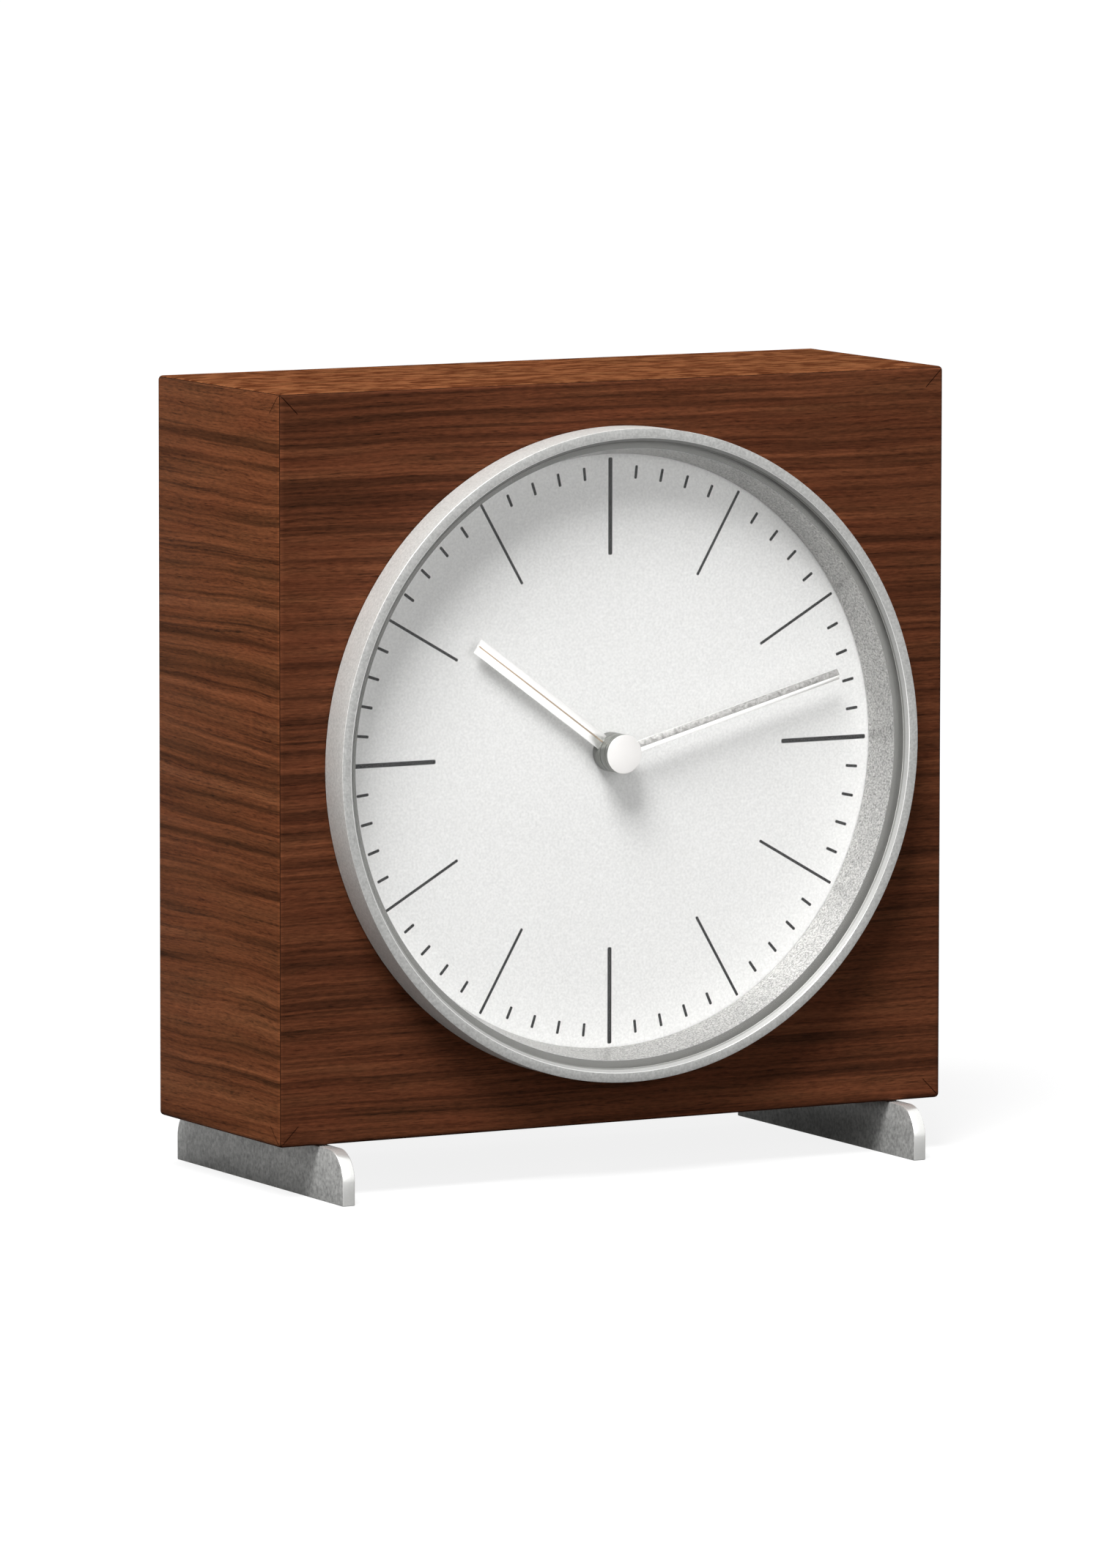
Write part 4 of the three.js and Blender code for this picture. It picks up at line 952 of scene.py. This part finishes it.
def makeScrew(name, node, headHeight, downwards):
    low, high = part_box(node)
    s = screwShape
    length = high.z - low.z if downwards else high.y - low.y
    radius, root = (high.x - low.x) / 2, s["shank"] - s["thread"]
    profile = [(share * radius, height * headHeight) for share, height in s["head"]]
    profile.append((s["shank"], -headHeight))
    for turn in range(int((length - headHeight - s["point"]) / s["pitch"])):
        start = -headHeight - turn * s["pitch"]
        profile += [(reach, start - s["pitch"] * share) for reach, share in zip((root, s["shank"]), s["flanks"])]
    profile += [(root, s["point"] - length), (s["shank"] / 3, -length), (0, -length)]
    bm = spinProfile(profile, Vector(), s["steps"])
    width, reach = s["recessWidth"], s["recessLength"]
    for normal in ((1, 0, 0), (0, 0, 1)):
        for offset in (-reach, -width, width, reach):
            bmesh.ops.bisect_plane(bm, geom=partsOf(crownFaces(bm, headHeight)), dist=tiny,
                                   plane_co=Vector(normal) * offset, plane_no=normal)
            bm.normal_update()
    cross = []
    for face in crownFaces(bm, headHeight):
        spot = face.calc_center_median()
        if min(abs(spot.x), abs(spot.z)) < width and max(abs(spot.x), abs(spot.z)) < reach:
            cross.append(face)
    extrude(bm, partsOf(cross), (0, -s["recessDepth"], 0))
    spot = (low + high) / 2
    if downwards:
        move(bm, (spot.x, spot.y, low.z), -quarter, "X")
    else:
        move(bm, (spot.x, high.y, spot.z))
    bmesh.ops.recalc_face_normals(bm, faces=bm.faces)
    addPiece(name, bm, [metal["steel"]], node)


for row in frame["record"]["subparts"]:
    kind, _, place = row["node"].partition("_screw_")
    if place:
        makeScrew(kind + "_fixing_" + place, row["node"], screwShape["headHeight"][kind], kind == "foot")
print("rear panel and screws made")


# Dial tray: a dish with a flange and six ribs

trayShape = {
    "floor": 2.5 * mm,
    "wall": 2.2 * mm,
    "radius": 67.7 * mm,
    "flange": 2.5 * mm,
    "corner": 8 * mm,
    "boss": 13 * mm,
    "bossBack": 1.8 * mm,
    "bore": 4.2 * mm,
    "nutRadius": 7.4 * mm,
    "nutDepth": 2.2 * mm,
    "ribWidth": 1.6 * mm,
    "ribHeight": 3 * mm,
    "ribStart": 48.5 * mm,
    "ribs": 6,
    "edge": 0.3 * mm,
    "steps": 128,
    "cornerSteps": 12,
    "sideParts": 24,
}


def makeTray():
    low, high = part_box("dial_tray")
    s = trayShape
    front, floorBack, flangeFront = low.y, low.y + s["floor"], high.y - s["flange"]
    inner = s["radius"] - s["wall"]
    seat = front + s["nutDepth"]
    bossBack = seat + s["bossBack"]
    bm = spinProfile([
        (s["bore"], seat), (s["nutRadius"], seat), (s["nutRadius"], front), (s["radius"], front),
        (s["radius"], high.y), (inner, high.y), (inner, floorBack), (s["boss"], floorBack), (s["boss"], bossBack),
        (s["bore"], bossBack),
    ], dialCentre, s["steps"])
    flange = bmesh.new()
    rings = [roundedRing(low, high, s["corner"], y, s["cornerSteps"], s["sideParts"]) for y in (flangeFront, high.y)]
    middle = s["radius"] - s["wall"] / 2
    angles = [angleOf(point, dialCentre) for point in rings[0]]
    rings += [[onCircle(dialCentre, middle, angle, y) for angle in angles] for y in (high.y, flangeFront)]
    loftRings(flange, rings)
    bevelEdges(flange, sharpEdges(flange), s["edge"])
    joinInto(bm, flange)
    for i in range(s["ribs"]):
        rib = bmesh.new()
        block(rib, (s["ribStart"], floorBack - s["floor"] / 2, -s["ribWidth"] / 2),
              (middle, floorBack + s["ribHeight"], s["ribWidth"] / 2))
        bevelEdges(rib, rib.edges[:], s["edge"])
        move(rib, dialCentre, 2 * math.pi * (i + 0.5) / s["ribs"])
        joinInto(bm, rib)
    addPiece("tray_dish", bm, [matter["black"]], "dial_tray")


makeTray()


# Movement case: a rounded box with its cavity, the battery bay and three button holes

movementShape = {
    "wall": 1.5 * mm,
    "corner": 1.3 * mm,
    "edge": 0.25 * mm,
    "bayGap": 0.4 * mm,
    "bayFloorGap": 0.3 * mm,
    "bayLength": 55 * mm,
    "bayWall": 1.2 * mm,
    "holeGap": 0.3 * mm,
    "holeMargin": 3.7 * mm,
    "holeSegments": 32,
}
buttonShape = {
    "radius": 2.5 * mm,
    "crown": [(0, 0.12), (0.5, 0.084), (0.8, 0), (0.92, 0.05), (1, 0.3)],  # share of the radius, mm from the end
    "stand": 1.4 * mm,
    "flangeRadius": 3.3 * mm,
    "flange": 0.8 * mm,
    "gap": 0.2 * mm,
    "stem": 1.0 * mm,
    "steps": 48,
}
buttons = {"set_button": "set_key", "reset_button": "reset_key", "receive_button": "receive_key"}


# Cuts the mesh along planes across X and across Z
def cutGrid(bm, across, levels):
    cuts = [((x, 0, 0), (1, 0, 0)) for x in across] + [((0, 0, z), (0, 0, 1)) for z in levels]
    for point, normal in cuts:
        bmesh.ops.bisect_plane(bm, geom=everything(bm), dist=tiny, plane_co=point, plane_no=normal)
        bm.normal_update()


# The faces that look along Y at one depth inside a window of X and Z
def facesInWindow(bm, y, lowX, highX, lowZ, highZ):
    found = []
    for face in bm.faces:
        spot = face.calc_center_median()
        if abs(face.normal.y) > facing and abs(spot.y - y) < near and lowX < spot.x < highX and lowZ < spot.z < highZ:
            found.append(face)
    return found


def sinkWindow(bm, window, depth):
    extrude(bm, partsOf(facesInWindow(bm, *window)), (0, depth, 0))
    bm.normal_update()


def makeMovementCase():
    low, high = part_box("movement_case")
    cellLow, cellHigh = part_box("battery")
    s = movementShape
    bm = bmesh.new()
    block(bm, low, high)
    upright = [e for e in bm.edges if abs(e.verts[0].co.y - e.verts[1].co.y) > mm]
    bevelEdges(bm, upright, s["corner"], segments=5)
    rim = [e for e in sharpEdges(bm) if all(v.co.y > high.y - near for v in e.verts)]
    bevelEdges(bm, rim, s["edge"] * 2, segments=3)
    bm.normal_update()
    innerX, halfBay = high.x - s["wall"], s["bayLength"] / 2
    bayLow, bayHigh = cellLow.z - s["bayGap"], cellHigh.z + s["bayGap"]
    floorZ, topZ = bayHigh + s["bayWall"], high.z - s["wall"]
    cutGrid(bm, (-innerX, innerX), (bayLow, bayHigh, floorZ, topZ))
    backInner = high.y - s["wall"]
    sinkWindow(bm, (low.y, -innerX, innerX, floorZ, topZ), backInner - low.y)
    sinkWindow(bm, (high.y, -halfBay, halfBay, bayLow, bayHigh), cellLow.y - s["bayFloorGap"] - high.y)
    spots = [sum(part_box(node), Vector()) / 2 for node in buttons]
    margin, radius = s["holeMargin"], buttonShape["radius"] + s["holeGap"]
    for spot in spots:
        cutGrid(bm, (spot.x - margin, spot.x + margin), (spot.z - margin, spot.z + margin))
    for spot in spots:
        for y in (high.y, backInner):
            window = (y, spot.x - tiny, spot.x + tiny, spot.z - tiny, spot.z + tiny)
            openRound(bm, facesInWindow(bm, *window)[0], radius, s["holeSegments"], spot)
        wallRound(bm, radius, (high.y, backInner), spot)
    bmesh.ops.recalc_face_normals(bm, faces=bm.faces)
    bm.normal_update()
    bayRim = [e for e in sharpEdges(bm) if all(abs(v.co.y - high.y) < near for v in e.verts)]
    bevelEdges(bm, bayRim, s["edge"])
    addPiece("movement_housing", bm, [matter["black"]], "movement_case")


makeMovementCase()


def makeButton(name, node, body):
    low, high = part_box(node)
    s = buttonShape
    back = high.y - s["stand"] - movementShape["wall"] - s["gap"]
    crown = [(share * s["radius"], high.y - depth * mm) for share, depth in s["crown"]]
    bm = spinProfile([
        *crown, (s["radius"], back), (s["flangeRadius"], back), (s["flangeRadius"], back - s["flange"]),
        (s["stem"], back - s["flange"]), (s["stem"], low.y), (0, low.y),
    ], Vector(((low.x + high.x) / 2, 0, (low.z + high.z) / 2)), s["steps"])
    addPiece(name, bm, [matter["button"]], node, body)


for node, body in buttons.items():
    makeButton(node.replace("_button", "_knob"), node, body)
print("movement made")


# Battery: plain wrap, steel ends and its signs

cellShape = {
    "skin": 0.03 * mm,
    "end": 0.4 * mm,
    "rimInner": 5.9 * mm,
    "rimOuter": 6.8 * mm,
    "seal": 3.4 * mm,
    "nub": 2.75 * mm,
    "nubLength": 1.4 * mm,
    "nubTaper": 0.85,
    "shoulder": 0.1 * mm,
    "steps": 64,
    "band": 11 * mm,
    "signSize": 3.4 * mm,
    "signWidth": 0.7 * mm,
    "signInset": 6 * mm,
}


# A patch of the cylinder's skin between two lengths and two angles
def arcPatch(bm, start, end, low, high, inner, outer, steps):
    rings = []
    for i in range(steps + 1):
        angle = low + (high - low) * i / steps
        corners = ((start, inner), (start, outer), (end, outer), (end, inner))
        rings.append([bm.verts.new((x, r * math.cos(angle), r * math.sin(angle))) for x, r in corners])
    for first, second in zip(rings, rings[1:]):
        joinLoops(bm, first, second)
    for ring in (rings[0], rings[-1]):
        bm.faces.new(ring)


def makeBattery():
    low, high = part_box("battery")
    s = cellShape
    radius = (high.z - low.z) / 2 - s["skin"]
    base, shoulder, end, skirt = low.x, high.x - s["nubLength"], s["end"], radius - s["shoulder"]
    bm = spinProfile([
        (0, base + end / 2), (s["rimInner"], base + end / 2), (s["rimInner"] + s["skin"], base),
        (s["rimOuter"], base), (skirt, base + end / 3), (radius, base + end), (radius, shoulder - s["band"]),
        (radius, shoulder - end), (skirt, shoulder - end / 3), (s["rimOuter"], shoulder), (s["rimInner"], shoulder),
        (s["rimInner"] - s["skin"], shoulder - end / 2), (s["seal"], shoulder - end / 2),
        (s["seal"] - s["skin"], shoulder - end / 4), (s["nub"], shoulder - end / 4), (s["nub"], high.x - end),
        (s["nub"] * s["nubTaper"], high.x), (0, high.x),
    ], Vector(), s["steps"])
    for face in bm.faces:
        spot = face.calc_center_median()
        if math.hypot(spot.x, spot.z) < s["rimInner"]:
            face.material_index = 1
        elif spot.y > shoulder - s["band"]:
            face.material_index = 2
    move(bm, (0, 0, 0), -quarter, "Z")
    signs = bmesh.new()
    half, width = s["signSize"] / 2, s["signWidth"] / 2
    inner, outer = radius - s["skin"], radius + s["skin"]
    for middle, sign in ((shoulder - s["signInset"], "+"), (base + s["signInset"], "-")):
        if sign == "+":
            arcPatch(signs, middle - half, middle + half, -width / radius, width / radius, inner, outer, 2)
        arcPatch(signs, middle - width, middle + width, -half / radius, half / radius, inner, outer, 8)
    bmesh.ops.recalc_face_normals(signs, faces=signs.faces)
    paint(signs, 3)
    joinInto(bm, signs)
    move(bm, (0, (low.y + high.y) / 2, (low.z + high.z) / 2))
    finishes = [matter["wrap"], metal["steel"], metal["copper"], matter["white"]]
    addPiece("battery_can", bm, finishes, "battery", "battery_cell")


makeBattery()
print("battery made")


# Floor, world and lamps

studio = {
    "sky": 0.14,
    "floor": 0.16,
    "floorSize": 6,
    "floorGlow": (0.1, 1.1, 0.86),  # between these distances it rises from the third number to 1
    "paintedShadowGlow": (0.06, 0.5, 0.08),  # the same in reflections, a painted shadow: the floor is dark near the clock
    "lamps": [
        # name, place, size, power
        ("keyLamp", (-0.99, -0.99, 2.10), 1.1, 89.0),
        ("fillLamp", (0.25, -1.6, 0.6), 0.7, 3.8),
        ("topLamp", (-0.1, -0.2, 1.35), 0.9, 3.0),
        ("leftLamp", (-1.25, -0.5, 0.45), 0.5, 3.4),
    ],
}


def makeStage():
    bm = bmesh.new()
    bmesh.ops.create_grid(bm, x_segments=1, y_segments=1, size=studio["floorSize"])
    mesh = meshFrom("floor", bm)
    addObject("floor", mesh)
    material, tree = newMaterial("paleFloor")
    tree.nodes.clear()
    place = addNode(tree, "TexCoord").outputs["Object"]
    distance = addNode(tree, "VectorMath", {0: place}, operation="LENGTH").outputs["Value"]
    path = addNode(tree, "LightPath").outputs
    direct, mirrored = (rescale(distance, *studio[name], 1.0) for name in ("floorGlow", "paintedShadowGlow"))
    direct = times(direct, larger(path["Is Camera Ray"], path["Is Transmission Ray"]))
    # reflections see the floor's glow with its painted shadow about the clock
    strength = plus(direct, times(mirrored, path["Is Glossy Ray"]))
    tone = studio["floor"]
    diffuse = addNode(tree, "BsdfDiffuse", {"Color": (tone, tone, tone, 1)})
    glow = addNode(tree, "Emission", {"Color": (1, 1, 1, 1), "Strength": strength})
    both = addNode(tree, "AddShader", {0: diffuse.outputs[0], 1: glow.outputs[0]})
    addNode(tree, "OutputMaterial", {0: both.outputs[0]})
    mesh.materials.append(material)


# White behind the object and in its reflections, dimmer as a light on it
def makeWorld():
    world = bpy.data.worlds.new("studio")
    bpy.context.scene.world = world
    world.use_nodes = True
    tree = world.node_tree
    tree.nodes.clear()
    path = addNode(tree, "LightPath").outputs
    seen = larger(larger(path["Is Camera Ray"], path["Is Glossy Ray"]), path["Is Transmission Ray"])
    strength = rescale(seen, 0.0, 1.0, studio["sky"])
    light = addNode(tree, "Background", {"Color": (1, 1, 1, 1), "Strength": strength})
    addNode(tree, "OutputWorld", {0: light.outputs[0]})


def makeLamps():
    for name, place, size, power in studio["lamps"]:
        data = bpy.data.lights.new(name, "AREA")
        data.shape = "DISK"
        data.size = size
        data.energy = power
        aim = Vector(place) - dialCentre
        lamp = addObject(name, data)
        lamp.matrix_world = Matrix.Translation(place) @ aim.to_track_quat("Z", "Y").to_matrix().to_4x4()


makeStage()
makeWorld()
makeLamps()
bpy.context.scene.view_settings.view_transform = "Standard"
print("stage lit")
